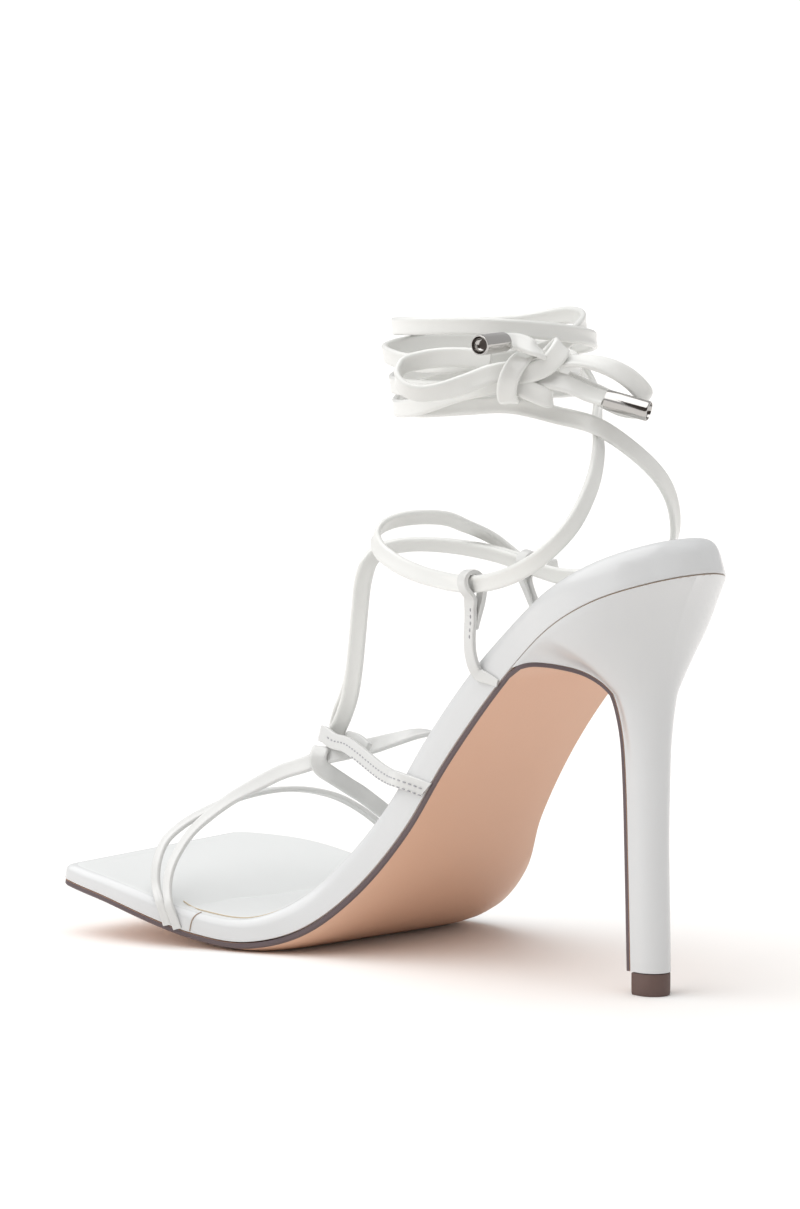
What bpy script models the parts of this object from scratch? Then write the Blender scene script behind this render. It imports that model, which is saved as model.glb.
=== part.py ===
"""A right stiletto sandal with a flared square toe, narrow straps and a lace tied round the ankle.

All sizes are millimetres and become metres when a mesh is made. A place on the shoe is written
(station, across, height): station runs from the back of the seat to the toe, across runs from the
inner side (negative) to the outer side, and height is above the floor.
"""
import math

import bmesh
import bpy
import numpy as np

MM = 0.001
GAP = 0.3
SHARP_ANGLE = 40.0

# Place of the frame's origin on the floor: station, across.
ORIGIN = (96.95, -0.45)

SOLE_LENGTH = 193.4
SEAT_ROUND = 30.0
SEAT_FULLNESS = 2.3
SEAT_STEPS = 9
SIDE_STEPS = 27
HEEL_LINE = -2.1
BREAST_TOP = 48.2

# Roll of the toe towards the inner side: height gained for each millimetre across, from this station on.
TOE_ROLL = 0.039
TOE_ROLL_FROM = 165.0

SOLE_EDGE = 1.3
SOLE_CROWN = 1.9
TREAD_FULLNESS = 9.0
WAIST_FULLNESS = 3.0
SOLE_STEPS = 34
SOLE_SPREAD = (-1.0, -0.9, -0.66, -0.33, 0.0, 0.33, 0.66, 0.9, 1.0)
BREAST_LAP = 2.0
WAIST_CROWN = 0.5
FLAP_CROWN = 0.25
WAIST_END = 70.0
TREAD_START = 120.0
SOLE_INSET = 0.2

# Walking piece: shares of its depth from back to front, then its rings as share of the heel's tip and height.
TOP_PIECE_SHARES = (0.0, 0.06, 0.2, 0.4, 0.66, 0.77, 0.89, 1.0)
TOP_PIECE_ROWS = ((0.91, 0.0), (0.96, 0.5), (0.96, 5.7))

TOE_STRAP = (2.4, 1.5)
REAR_STRAP = (3.4, 1.5)
INSTEP_STRAP = (4.2, 1.4)
LOOP_STRAP = (4.6, 1.4)
LACE = (4.0, 1.6)
EDGE_ROUND = 0.6
STRAP_STEP = 4.5
LACE_STEP = 6.0
FINE_STEP = 0.3
TURN_STEP = 24.0
FACE_PULL = 4.0
EYE_SIZE = (4.5, 4.0)
EYE_STEPS = 16
LOOP_INNER_SIZE = (3.4, 2.7)
LOOP_OUTER_SIZE = (3.6, 4.3)

ANKLE = (75.0, -3.6)
AGLET_LENGTH = 11.5
AGLET_DIAMETER = 5.2
AGLET_GAP = 0.5
AGLET_FACETS = 14
AGLET_ROWS = ((0.0, 0.9), (0.04, 1.0), (0.96, 1.0), (1.0, 0.88))

# Sections of the last, from the back of the seat to the toe.
# station, height of the feather line, inner edge, outer edge, thickness of the wrapped footbed
LAST = (
    (0.0, 109.0, -29.6, 19.6, 10.2),
    (15.0, 102.9, -29.2, 21.2, 9.4),
    (30.0, 94.8, -27.6, 23.4, 9.0),
    (45.0, 85.2, -23.2, 23.3, 9.0),
    (60.0, 71.7, -21.4, 24.3, 9.6),
    (75.0, 54.9, -21.0, 26.0, 9.6),
    (90.0, 35.8, -20.6, 30.0, 9.4),
    (105.0, 19.3, -23.4, 39.7, 9.0),
    (120.0, 7.6, -28.4, 44.1, 7.8),
    (135.0, 2.9, -34.6, 44.7, 6.1),
    (150.0, 4.2, -40.0, 43.6, 5.6),
    (165.0, 8.8, -45.8, 40.3, 5.2),
    (180.0, 13.6, -47.6, 31.2, 4.6),
    (SOLE_LENGTH, 17.0, -47.4, 14.6, 4.1),
)

# Sections of the heel, from the seat down to the tip.
# breast station, breast height, back station, back height, half width at the breast, widest half
HEEL = (
    (BREAST_TOP, 82.8, 0.0, 109.0, 22.3, 25.4),
    (42.1, 84.6, 4.0, 102.6, 16.6, 21.8),
    (35.1, 84.1, 7.8, 94.5, 11.2, 17.2),
    (30.0, 81.8, 10.6, 86.5, 7.6, 12.6),
    (26.3, 76.6, 12.5, 77.0, 5.8, 8.7),
    (23.6, 67.0, 13.4, 66.0, 5.1, 6.2),
    (22.5, 54.9, 13.6, 54.0, 4.9, 5.2),
    (21.8, 36.0, 13.7, 36.0, 4.8, 4.9),
    (21.0, 6.0, 12.8, 6.0, 4.6, 4.7),
)
HEEL_STEPS = 3
HEEL_BACK_STEPS = 8
HEEL_FLANK_STEPS = 6
SEAT_BLEND_ROWS = 4.0

# Rim of the footbed from its underside up and over to its top: inset, share of its thickness.
FOOTBED_RIM = (
    (0.5, 0.0),
    (0.0, 0.12),
    (0.0, 0.55),
    (0.3, 0.80),
    (1.0, 0.95),
    (2.2, 1.0),
    (4.2, 0.97),
)

# Middle line of the foot and leg that the straps and the lace lie around.
FOOT_LINE = (
    (190.0, -12.0, 16.0),
    (165.0, -5.0, 20.0),
    (150.0, 0.0, 22.0),
    (137.0, -4.0, 26.0),
    (120.0, -16.0, 45.0),
    (106.0, -26.0, 66.0),
    (94.0, -22.0, 88.0),
    (80.0, -8.0, 110.0),
    (ANKLE[0], ANKLE[1], 125.0),
    (ANKLE[0], ANKLE[1], 180.0),
)

# Feet of the straps on the footbed's wall: side, station at the feather line, station at the top edge,
# share of the wall that the strap lies against.
TOE_FRONT_INNER_FOOT = ("inner", 156.3, 159.0, 1.0)
TOE_FRONT_OUTER_FOOT = ("outer", 148.0, 148.4, 1.0)
TOE_REAR_INNER_FOOT = ("inner", 153.6, 156.6, 1.0)
TOE_REAR_OUTER_FOOT = ("outer", 98.0, 101.0, 1.0)
OUTER_FRONT_FOOT = ("outer", 125.0, 126.0, 1.0)
INSTEP_FOOT = ("inner", 79.7, 84.2, 1.0)
LOOP_INNER_FOOT = ("inner", 51.4, 56.4, 0.6)
LOOP_OUTER_FOOT = ("outer", 64.0, 68.0, 1.0)

# Places up a strap's foot: share of the way between its stations, share of the footbed's thickness.
FOOT_PLACES = (
    (0.0, 0.09),
    (0.55, 0.55),
    (1.0, 0.98),
)
FOOT_BLEND = 16.0
FOOT_GAP = 0.6

# Free stretches of the straps between their feet, as places on the shoe.
TOE_STRAP_FRONT = (
    (160.4, -43.0, 15.8),
    (162.0, -41.2, 21.8),
    (163.0, -37.6, 26.7),
    (162.5, -31.8, 30.7),
    (159.6, -25.8, 34.2),
    (156.4, -20.5, 36.7),
    (156.2, -8.4, 38.0),
    (155.9, 1.2, 37.8),
    (155.0, 10.2, 36.4),
    (153.6, 17.6, 34.0),
    (152.3, 22.6, 31.2),
    (150.4, 32.0, 24.0),
)
TOE_STRAP_REAR = (
    (156.9, -42.2, 15.1),
    (158.0, -40.2, 20.1),
    (158.7, -36.6, 24.6),
    (158.5, -31.4, 29.8),
    (157.3, -26.4, 33.5),
    (155.4, -21.0, 37.2),
    (150.9, -15.4, 41.2),
    (145.1, -11.2, 44.9),
    (138.9, -8.2, 47.3),
    (135.2, -5.2, 49.4),
    (131.2, -2.4, 50.6),
    (129.6, 0.8, 51.2),
    (127.8, 4.6, 51.9),
    (124.4, 9.0, 53.4),
    (118.6, 16.4, 55.2),
    (112.6, 26.4, 50.2),
)
OUTER_FRONT_STRAP = (
    (136.4, -4.2, 53.6),
    (136.5, -5.1, 51.6),
    (136.5, -6.1, 50.1),
    (136.6, -6.5, 48.4),
    (135.8, -5.9, 46.5),
    (134.2, -4.6, 44.6),
    (133.5, -1.4, 42.7),
    (133.9, 2.6, 40.5),
    (134.2, 7.0, 38.2),
    (134.8, 12.0, 35.2),
    (132.0, 28.0, 23.4),
)
OUTER_FRONT_FACE = (-0.6, -0.64, 0.48)
INSTEP_STRAP_INNER = (
    (96.0, -18.9, 49.1),
    (102.0, -16.7, 49.9),
    (107.4, -14.4, 50.8),
    (116.5, -10.8, 52.6),
    (124.9, -7.0, 53.8),
    (133.6, -3.8, 53.9),
)
INSTEP_FACE = (0.2, -0.93, 0.3)
INSTEP_EYE = (136.0, -0.4, 54.0)
INSTEP_EYE_WAY = (1.0, 0.1, 0.0)
LOOP_RISE_INNER = (
    (60.6, -23.3, 83.2),
    (62.4, -23.6, 86.4),
    (62.3, -24.4, 90.4),
    (60.6, -25.6, 96.0),
    (59.2, -26.3, 99.6),
)
LOOP_EYE_INNER = (58.4, -26.4, 103.4)
LOOP_EYE_INNER_WAY = (0.21, -0.39, 0.89)
LOOP_EYE_INNER_FACE = (0.20, -0.88, -0.43)
LOOP_RISE_OUTER = (
    (80.0, 27.6, 76.0),
    (84.6, 26.4, 85.0),
    (87.6, 25.0, 92.6),
    (88.8, 23.9, 98.6),
)
LOOP_EYE_OUTER = (88.8, 23.8, 102.3)
LOOP_EYE_OUTER_WAY = (-0.15, 0.35, 0.92)
LOOP_EYE_OUTER_FACE = (0.24, 0.92, -0.31)

# Turns of the lace round the ankle: turn in degrees from the back, towards the outer side when
# positive, distance from the ankle's middle line, height.
OUTER_END_TURNS = (
    (-34.0, 27.4, 149.0),
    (-62.0, 24.0, 148.2),
    (-90.0, 22.0, 147.0),
    (-135.0, 21.5, 146.0),
    (-180.0, 21.5, 146.0),
    (-225.0, 21.5, 148.0),
    (-270.0, 21.5, 149.5),
    (-315.0, 21.5, 151.0),
    (-360.0, 21.5, 152.0),
    (-405.0, 21.5, 152.7),
    (-450.0, 23.0, 152.0),
    (-495.0, 25.2, 152.2),
    (-540.0, 23.0, 154.6),
    (-585.0, 21.5, 157.0),
    (-630.0, 21.5, 158.2),
    (-675.0, 22.0, 158.2),
    (-705.0, 25.0, 157.0),
    (-729.0, 29.4, 156.0),
)
INNER_END_TURNS = (
    (22.0, 30.0, 148.6),
    (45.0, 26.0, 152.6),
    (90.0, 24.2, 159.2),
    (135.0, 24.0, 160.8),
    (180.0, 24.8, 161.2),
    (225.0, 27.0, 160.0),
    (270.0, 24.6, 158.6),
    (315.0, 24.0, 159.6),
    (360.0, 24.0, 163.4),
    (405.0, 24.0, 168.2),
    (440.0, 25.0, 168.7),
    (480.0, 26.2, 165.7),
    (520.0, 25.8, 164.8),
    (560.0, 24.8, 166.0),
    (585.0, 24.6, 166.8),
    (630.0, 25.9, 168.4),
    (675.0, 26.6, 168.8),
    (720.0, 26.8, 166.6),
    (765.0, 26.8, 163.2),
    (810.0, 26.5, 159.6),
    (855.0, 26.5, 154.6),
    (900.0, 25.4, 149.4),
    (945.0, 24.4, 146.2),
    (990.0, 25.6, 147.8),
    (1022.0, 27.6, 152.4),
    (1041.0, 29.8, 154.6),
)

# The lace from the ankle down to the instep eye and back up, as places on the shoe.
LACE_MIDDLE = (
    (44.0, -9.8, 146.2),
    (34.2, -6.0, 143.9),
    (28.0, 0.4, 138.0),
    (25.2, 5.9, 132.4),
    (26.0, 11.9, 126.4),
    (28.4, 16.6, 120.0),
    (32.6, 20.6, 113.0),
    (46.0, 25.0, 105.2),
    (62.0, 25.8, 100.8),
    (78.0, 24.4, 99.9),
    (84.8, 23.4, 101.1),
    (91.4, 22.2, 102.8),
    (101.4, 20.2, 104.6),
    (111.4, 16.0, 105.8),
    (116.2, 13.0, 106.0),
    (119.8, 9.8, 105.8),
    (122.4, 6.0, 105.0),
    (123.8, 2.6, 103.6),
    (124.8, 0.6, 101.0),
    (126.1, 0.0, 96.8),
    (127.2, 0.0, 89.8),
    (128.6, 0.0, 79.0),
    (129.8, 0.0, 71.0),
    (131.4, 0.0, 64.6),
    (133.8, 0.0, 59.4),
    (136.2, -0.3, 54.6),
    (136.8, -0.3, 51.4),
    (138.4, 1.6, 49.1),
    (140.2, 3.8, 51.2),
    (140.3, 4.0, 55.0),
    (138.2, 3.4, 60.0),
    (134.2, 2.2, 65.4),
    (131.6, 1.8, 71.6),
    (130.4, 1.8, 79.4),
    (129.0, 1.8, 90.0),
    (127.8, 2.0, 97.0),
    (126.6, 2.6, 101.0),
    (126.0, 4.2, 103.4),
    (124.6, 7.2, 104.8),
    (121.8, 11.2, 105.6),
    (117.8, 14.8, 105.8),
    (112.8, 18.2, 105.6),
    (102.4, 22.4, 104.6),
    (97.0, 23.6, 103.8),
    (91.8, 24.5, 102.8),
    (88.8, 25.0, 102.2),
    (86.4, 25.3, 101.7),
    (84.2, 26.2, 101.4),
    (83.3, 28.2, 101.4),
    (84.2, 30.2, 101.2),
    (86.4, 31.3, 101.0),
    (89.6, 31.4, 101.0),
    (94.6, 29.4, 101.6),
    (98.4, 27.4, 104.4),
    (101.3, 25.2, 107.1),
    (103.4, 20.2, 110.0),
    (104.4, 16.6, 111.5),
    (106.2, 12.6, 113.4),
    (108.0, 8.0, 114.2),
    (110.6, 3.0, 114.2),
    (112.6, -2.0, 113.4),
    (113.2, -5.8, 112.0),
    (112.4, -8.6, 109.9),
    (109.6, -10.2, 107.4),
    (102.6, -12.4, 105.0),
    (89.6, -16.2, 103.0),
    (76.2, -20.4, 102.5),
    (66.2, -23.8, 102.7),
    (58.4, -26.4, 103.4),
    (49.8, -28.4, 104.8),
    (40.0, -29.2, 107.9),
    (32.2, -28.0, 112.4),
    (26.6, -23.4, 119.8),
    (26.7, -16.1, 129.0),
    (32.6, -7.0, 138.0),
    (40.2, 0.2, 144.1),
)

# The knot and the bow: sideways towards the toe, outward from the ankle, height.
KNOT = (45.9, -19.1)
KNOT_TURN = 44.0
KNOT_HEIGHT = 157.4
KNOT_OUT = 1.6
KNOT_SIZE = (16.0, 8.0, 15.0)
KNOT_FACETS = (14, 8)
BOW_FRONT = (
    (9.0, 2.4, 157.4),
    (14.9, 3.2, 155.2),
    (22.4, 4.2, 153.1),
    (27.5, 4.2, 152.6),
    (31.0, 3.0, 153.7),
    (33.0, 0.5, 156.3),
    (31.5, -2.0, 159.1),
    (27.4, -3.0, 160.3),
    (19.9, -2.8, 161.2),
    (13.0, -1.6, 161.0),
    (9.4, -0.6, 160.6),
)
BOW_BACK = (
    (-8.0, 1.6, 160.6),
    (-11.4, 2.2, 160.8),
    (-17.4, 2.8, 160.2),
    (-23.2, 2.6, 158.0),
    (-27.4, 1.6, 154.8),
    (-29.8, 0.2, 151.4),
    (-29.2, -2.2, 148.6),
    (-25.4, -3.6, 148.4),
    (-17.6, -3.4, 151.8),
    (-9.6, -1.6, 155.6),
)
END_FRONT = (
    (-1.4, 5.6, 164.2),
    (0.8, 5.2, 165.3),
    (2.8, 5.0, 165.8),
    (4.4, 5.8, 165.9),
    (5.3, 7.2, 166.0),
    (5.8, 8.8, 166.0),
)
AGLET_FRONT_WAY = (0.5, 0.866, 0.0)
END_BACK = (
    (-8.8, 3.4, 155.4),
    (-11.6, 3.2, 154.4),
    (-15.2, 3.2, 152.7),
    (-17.6, 3.7, 151.9),
    (-19.4, 4.2, 151.4),
)
AGLET_BACK_WAY = (-0.92, 0.24, -0.24)

WHITE_PATENT = ("white_patent", (0.86, 0.86, 0.83), 0.22, 0.0)
TAN_SOLE = ("tan_sole", (0.63, 0.38, 0.26), 0.45, 0.0)
BROWN_RUBBER = ("brown_rubber", (0.13, 0.08, 0.07), 0.6, 0.0)
SILVER_METAL = ("silver_metal", (0.78, 0.76, 0.74), 0.12, 1.0)


def smooth(rows, at):
    """Row of a table at a value of its first column, on a smooth curve through the rows."""
    table = np.asarray(rows, float)
    key = table[:, 0]
    slope = np.gradient(table, key, axis=0)
    at = np.clip(np.asarray(at, float), key[0], key[-1])
    i = np.clip(np.searchsorted(key, at, side="right") - 1, 0, len(key) - 2)
    step = (key[i + 1] - key[i])[..., None]
    t = ((at - key[i]) / (key[i + 1] - key[i]))[..., None]
    before = table[i] * (1 + 2 * t) * (1 - t) ** 2 + slope[i] * step * t * (1 - t) ** 2
    after = table[i + 1] * t * t * (3 - 2 * t) - slope[i + 1] * step * t * t * (1 - t)
    return before + after


def last_at(station):
    """Feather height, inner edge, outer edge and footbed thickness at a station."""
    return smooth(LAST, station)[..., 1:]


def toe_roll(station, across):
    """Height that the toe's roll adds at a place."""
    share = np.clip((station - TOE_ROLL_FROM) / (SOLE_LENGTH - TOE_ROLL_FROM), 0.0, 1.0)
    return TOE_ROLL * across * share * share * (3 - 2 * share)


def lifted(station, across, lift):
    """Place at a lift square to the feather line."""
    probe = 0.5
    ahead = last_at(station + probe)[..., 0]
    behind = last_at(station - probe)[..., 0]
    lean = np.arctan((ahead - behind) / (2 * probe))
    height = last_at(station)[..., 0] + lift * np.cos(lean) + toe_roll(station, across)
    return np.stack([station - lift * np.sin(lean), across + 0 * station, height], -1)


def edges_at(station, inset=0.0):
    """Inner and outer edge of the sole's outline, moved in by an inset."""
    row = last_at(station)
    middle = (row[..., 1] + row[..., 2]) / 2
    half = (row[..., 2] - row[..., 1]) / 2 - inset
    back = np.clip((SEAT_ROUND - station) / (SEAT_ROUND - inset), 0.0, 1.0)
    half = half * (1.0 - back ** SEAT_FULLNESS) ** (1.0 / SEAT_FULLNESS)
    return middle - half, middle + half


def ladder_stations(inset, front):
    """Stations from the back of the seat to the front, close together round the seat."""
    turn = np.linspace(0.0, math.pi / 2, SEAT_STEPS)
    seat = inset + (SEAT_ROUND - inset) * (1 - np.cos(turn))
    rest = np.linspace(SEAT_ROUND, front, SIDE_STEPS)
    return np.concatenate([seat, rest[1:]])


def ring_of(back, inner, outer):
    """Closed ring: the back point, up the inner side, then back down the outer side."""
    return np.concatenate([back[None], inner, outer[::-1]])


def mesh_object(name, material, verts, faces):
    """Object with an outward-facing mesh, from places on the shoe."""
    verts = np.asarray(verts, float)
    world = np.stack([ORIGIN[0] - verts[:, 0], verts[:, 1] - ORIGIN[1], verts[:, 2]], -1) * MM
    mesh = bpy.data.meshes.new(name)
    mesh.from_pydata([tuple(v) for v in world], [], faces)
    body = bmesh.new()
    body.from_mesh(mesh)
    bmesh.ops.remove_doubles(body, verts=body.verts, dist=1e-6)
    bmesh.ops.recalc_face_normals(body, faces=body.faces)
    bmesh.ops.triangulate(body, faces=[f for f in body.faces if len(f.verts) > 4])
    body.to_mesh(mesh)
    body.free()
    mesh.shade_smooth()
    mesh.set_sharp_from_angle(angle=math.radians(SHARP_ANGLE))
    mesh.materials.append(material_for(material))
    obj = bpy.data.objects.new(name, mesh)
    bpy.context.scene.collection.objects.link(obj)
    return obj


def material_for(look):
    """Principled material from its name, colour, roughness and metallic value."""
    name, colour, roughness, metallic = look
    material = bpy.data.materials.get(name)
    if material is None:
        material = bpy.data.materials.new(name)
        material.use_nodes = True
        shader = material.node_tree.nodes["Principled BSDF"]
        shader.inputs["Base Color"].default_value = (*colour, 1.0)
        shader.inputs["Roughness"].default_value = roughness
        shader.inputs["Metallic"].default_value = metallic
    return material


def ring_faces(rings, size):
    """Quads between each ring of points and the next."""
    faces = []
    for ring in range(rings - 1):
        for k in range(size):
            after = (k + 1) % size
            here = ring * size
            above = here + size
            faces.append((here + k, here + after, above + after, above + k))
    return faces


def ladder_cap(start, side):
    """Faces across a ring made by ring_of, rung by rung."""
    faces = [(start, start + 1, start + 2 * side)]
    for k in range(1, side):
        inner = start + k
        outer = start + 2 * side + 1 - k
        faces.append((inner, inner + 1, outer - 1, outer))
    return faces


def stacked(name, material, rings, side):
    """Closed solid from stacked rings made by ring_of, with a ladder across each end."""
    size = len(rings[0])
    faces = ring_faces(len(rings), size)
    faces += ladder_cap(0, side)
    faces += ladder_cap((len(rings) - 1) * size, side)
    return mesh_object(name, material, np.concatenate(rings), faces)


def footbed():
    """Wrapped insole: flat underside, upright rim with a rolled top edge, slightly hollow top."""
    rings = []
    for inset, share in FOOTBED_RIM:
        station = ladder_stations(inset, SOLE_LENGTH - inset)
        inner, outer = edges_at(station, inset)
        lift = share * last_at(station)[:, 3]
        inner_side = lifted(station, inner, lift)
        outer_side = lifted(station, outer, lift)
        rings.append(ring_of(inner_side[0], inner_side[1:], outer_side[1:]))
    return stacked("footbed", WHITE_PATENT, rings, len(station) - 1)


def heel_rows():
    """Rows of the heel table with their place in it as the first column, evenly filled in."""
    rows = [(k, *row) for k, row in enumerate(HEEL)]
    at = np.linspace(0.0, len(HEEL) - 1, (len(HEEL) - 1) * HEEL_STEPS + 1)
    return smooth(rows, at)


def heel_half(share, front_half, widest, widest_at):
    """Half width of a heel section at a share of its depth from back to breast."""
    round_back = np.sqrt(np.clip(1 - (1 - share / widest_at) ** 2, 0, 1)) * widest
    t = np.clip((share - widest_at) / (1 - widest_at), 0, 1)
    to_front = widest + (front_half - widest) * t * t * (3 - 2 * t)
    return np.where(share < widest_at, round_back, to_front)


def heel():
    """Covered heel lofted from the seat's outline to the slim tip."""
    turn = np.linspace(0.0, math.pi / 2, HEEL_BACK_STEPS)
    widest_at = SEAT_ROUND / BREAST_TOP
    flank = np.linspace(widest_at, 1.0, HEEL_FLANK_STEPS)
    share = np.concatenate([widest_at * (1 - np.cos(turn)), flank[1:]])
    seat = share * BREAST_TOP
    seat_inner, seat_outer = edges_at(seat, SOLE_INSET)
    seat_places = lifted(seat, 0.0, -GAP)
    rings = []
    for place, front, front_up, back, back_up, front_half, widest in heel_rows():
        blend = min(1.0, place / SEAT_BLEND_ROWS)
        half = heel_half(share, front_half, widest, widest_at)
        inner = (1 - blend) * seat_inner + blend * (HEEL_LINE - half)
        outer = (1 - blend) * seat_outer + blend * (HEEL_LINE + half)
        chord = seat_places[0] + (seat_places[-1] - seat_places[0]) * share[:, None]
        bulge = (seat_places - chord) * (1 - blend)
        station = back + (front - back) * share + bulge[:, 0]
        height = back_up + (front_up - back_up) * share + bulge[:, 2] - GAP * (1 - blend)
        inner_side = np.stack([station, inner, height], -1)
        outer_side = np.stack([station, outer, height], -1)
        rings.append(ring_of((inner_side[0] + outer_side[0]) / 2, inner_side[1:], outer_side[1:]))
    return stacked("heel", WHITE_PATENT, rings, len(share) - 1)


def top_piece():
    """Walking piece under the heel, with the outline of the heel's tip."""
    front, tip, back, _, front_half, widest = HEEL[-1]
    share = np.array(TOP_PIECE_SHARES)
    half = heel_half(share, front_half, widest, SEAT_ROUND / BREAST_TOP)
    middle = (front + back) / 2
    rings = []
    for scale, height in TOP_PIECE_ROWS:
        station = middle + (back + (front - back) * share - middle) * scale
        inner_side = np.stack([station, HEEL_LINE - half * scale, height + 0 * share], -1)
        outer_side = np.stack([station, HEEL_LINE + half * scale, height + 0 * share], -1)
        rings.append(ring_of(inner_side[0], inner_side[1:], outer_side[1:]))
    return stacked("top_piece", BROWN_RUBBER, rings, len(share) - 1)


def outsole():
    """Thin sole from the toe to the heel, crowned underneath, running on down the heel breast."""
    station = np.linspace(SOLE_LENGTH, BREAST_TOP + BREAST_LAP, SOLE_STEPS)
    inner, outer = edges_at(station, SOLE_INSET)
    path = np.stack([station, last_at(station)[:, 0]], -1)
    breast = heel_rows()[1:]
    blend = np.minimum(1.0, breast[:, 0] / SEAT_BLEND_ROWS)
    seat_inner, seat_outer = edges_at(np.array([BREAST_TOP]), SOLE_INSET)
    path = np.concatenate([path, breast[:, 1:3]])
    inner = np.concatenate([inner, (1 - blend) * seat_inner + blend * (HEEL_LINE - breast[:, 5])])
    outer = np.concatenate([outer, (1 - blend) * seat_outer + blend * (HEEL_LINE + breast[:, 5])])
    way = np.gradient(path, axis=0)
    way /= np.linalg.norm(way, axis=1)[:, None]
    down = np.stack([-way[:, 1], way[:, 0]], -1)
    forefoot = np.clip((path[:, 0] - WAIST_END) / (TREAD_START - WAIST_END), 0, 1)
    crown = WAIST_CROWN + (SOLE_CROWN - WAIST_CROWN) * forefoot
    fullness = WAIST_FULLNESS + (TREAD_FULLNESS - WAIST_FULLNESS) * forefoot
    crown[len(station):] = FLAP_CROWN
    spread = np.array(SOLE_SPREAD)
    rings = []
    for k in range(len(path)):
        half = (outer[k] - inner[k]) / 2
        across = (inner[k] + outer[k]) / 2 + half * spread
        drop = GAP + SOLE_EDGE + crown[k] * (1 - np.abs(spread) ** fullness[k])
        under = path[k] + down[k] * drop[:, None]
        upper = path[k] + down[k] * GAP
        side = np.array([outer[k], inner[k]])
        top = np.stack([upper[0] + 0 * side, side, upper[1] + toe_roll(path[k, 0], side)], -1)
        low = under[:, 1] + toe_roll(path[k, 0], across)
        below = np.stack([under[:, 0], across, np.maximum(low, 0.0)], -1)
        rings.append(np.concatenate([below, top]))
    size = len(rings[0])
    faces = ring_faces(len(rings), size)
    faces.append(tuple(range(size)))
    faces.append(tuple(range((len(rings) - 1) * size, len(rings) * size)))
    return mesh_object("outsole", TAN_SOLE, np.concatenate(rings), faces)


def route_points(route, spacing):
    """Points along a smooth curve through a route's places, closer together where it turns."""
    route = np.asarray(route, float)
    length = np.concatenate([[0.0], np.cumsum(np.linalg.norm(np.diff(route, axis=0), axis=1))])
    fine = np.linspace(0.0, length[-1], int(length[-1] / FINE_STEP) + 2)
    curve = smooth(np.column_stack([length, route]), fine)[:, 1:]
    step = np.diff(curve, axis=0)
    reach = np.linalg.norm(step, axis=1)
    way = step / reach[:, None]
    bend = np.degrees(np.arccos(np.clip(np.sum(way[1:] * way[:-1], axis=1), -1.0, 1.0)))
    cost = reach / spacing
    cost[1:] += bend / TURN_STEP
    along = np.concatenate([[0.0], np.cumsum(cost)])
    count = max(4, int(round(along[-1])))
    at = np.interp(np.linspace(0.0, along[-1], count + 1), along, np.arange(len(along)))
    return np.stack([np.interp(at, np.arange(len(along)), curve[:, k]) for k in range(3)], -1)


def away_from_foot(points):
    """Directions from the middle line of the foot and leg out to each point."""
    line = route_points(FOOT_LINE, STRAP_STEP)
    nearest = np.linalg.norm(points[:, None] - line[None], axis=2).argmin(axis=1)
    return points - line[nearest]


def steady_faces(way, wish):
    """Faces square to the way, as near to the wished ones as they can be without turning over."""
    faces = []
    carried = wish[0]
    for along, wished in zip(way, wish):
        level = wished - along * np.dot(wished, along)
        carried = carried - along * np.dot(carried, along)
        carried = carried / np.linalg.norm(carried)
        pull = np.dot(level, carried) * np.dot(level, level) * FACE_PULL
        carried = carried + level * pull
        carried = carried / np.linalg.norm(carried)
        faces.append(carried)
    return np.array(faces)


def band_shape(size, points, face, closed=False):
    """Points and faces of a flat band with rounded edges, its flat side turned along face."""
    half_width, half_thick = size[0] / 2, size[1] / 2
    flat = half_width - EDGE_ROUND * half_thick
    across = np.array([flat, half_width, flat, -flat, -half_width, -flat])
    out = np.array([half_thick, 0.0, -half_thick, -half_thick, 0.0, half_thick])
    if closed:
        way = np.roll(points, -1, axis=0) - np.roll(points, 1, axis=0)
    else:
        way = np.gradient(points, axis=0)
    way /= np.linalg.norm(way, axis=1)[:, None]
    wish = np.broadcast_to(np.asarray(face, float), points.shape)
    wish = wish / np.linalg.norm(wish, axis=1)[:, None]
    face = steady_faces(way, wish)
    side = np.cross(way, face)
    verts = points[:, None] + side[:, None] * across[None, :, None] + face[:, None] * out[None, :, None]
    size = len(across)
    faces = ring_faces(len(points), size)
    last = (len(points) - 1) * size
    if closed:
        for k in range(size):
            after = (k + 1) % size
            faces.append((last + k, last + after, after, k))
    else:
        faces.append(tuple(range(size)))
        faces.append(tuple(range(last, last + size)))
    return verts.reshape(-1, 3), faces


def wall_way(side, station):
    """Level direction straight out of the footbed's wall at a station."""
    probe = 0.5
    column = 0 if side == "inner" else 1
    edge = edges_at(np.array([station - probe, station + probe]))[column]
    slope = (edge[1] - edge[0]) / (2 * probe)
    way = np.array([slope, -1.0, 0.0]) if side == "inner" else np.array([-slope, 1.0, 0.0])
    return way / np.linalg.norm(way)


def strap_foot(foot, thick):
    """Places up the footbed's wall, from the feather line to just over the top edge."""
    side, feather_station, rim_station, reach = foot
    places = []
    for share, lift_share in np.asarray(FOOT_PLACES) * (1.0, reach):
        at = feather_station + (rim_station - feather_station) * share * reach
        station = np.array([at])
        edge = edges_at(station)[0 if side == "inner" else 1]
        wall = lifted(station, edge, lift_share * last_at(station)[:, 3])[0]
        places.append(tuple(wall + wall_way(side, at) * (FOOT_GAP + thick / 2)))
    return places


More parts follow.
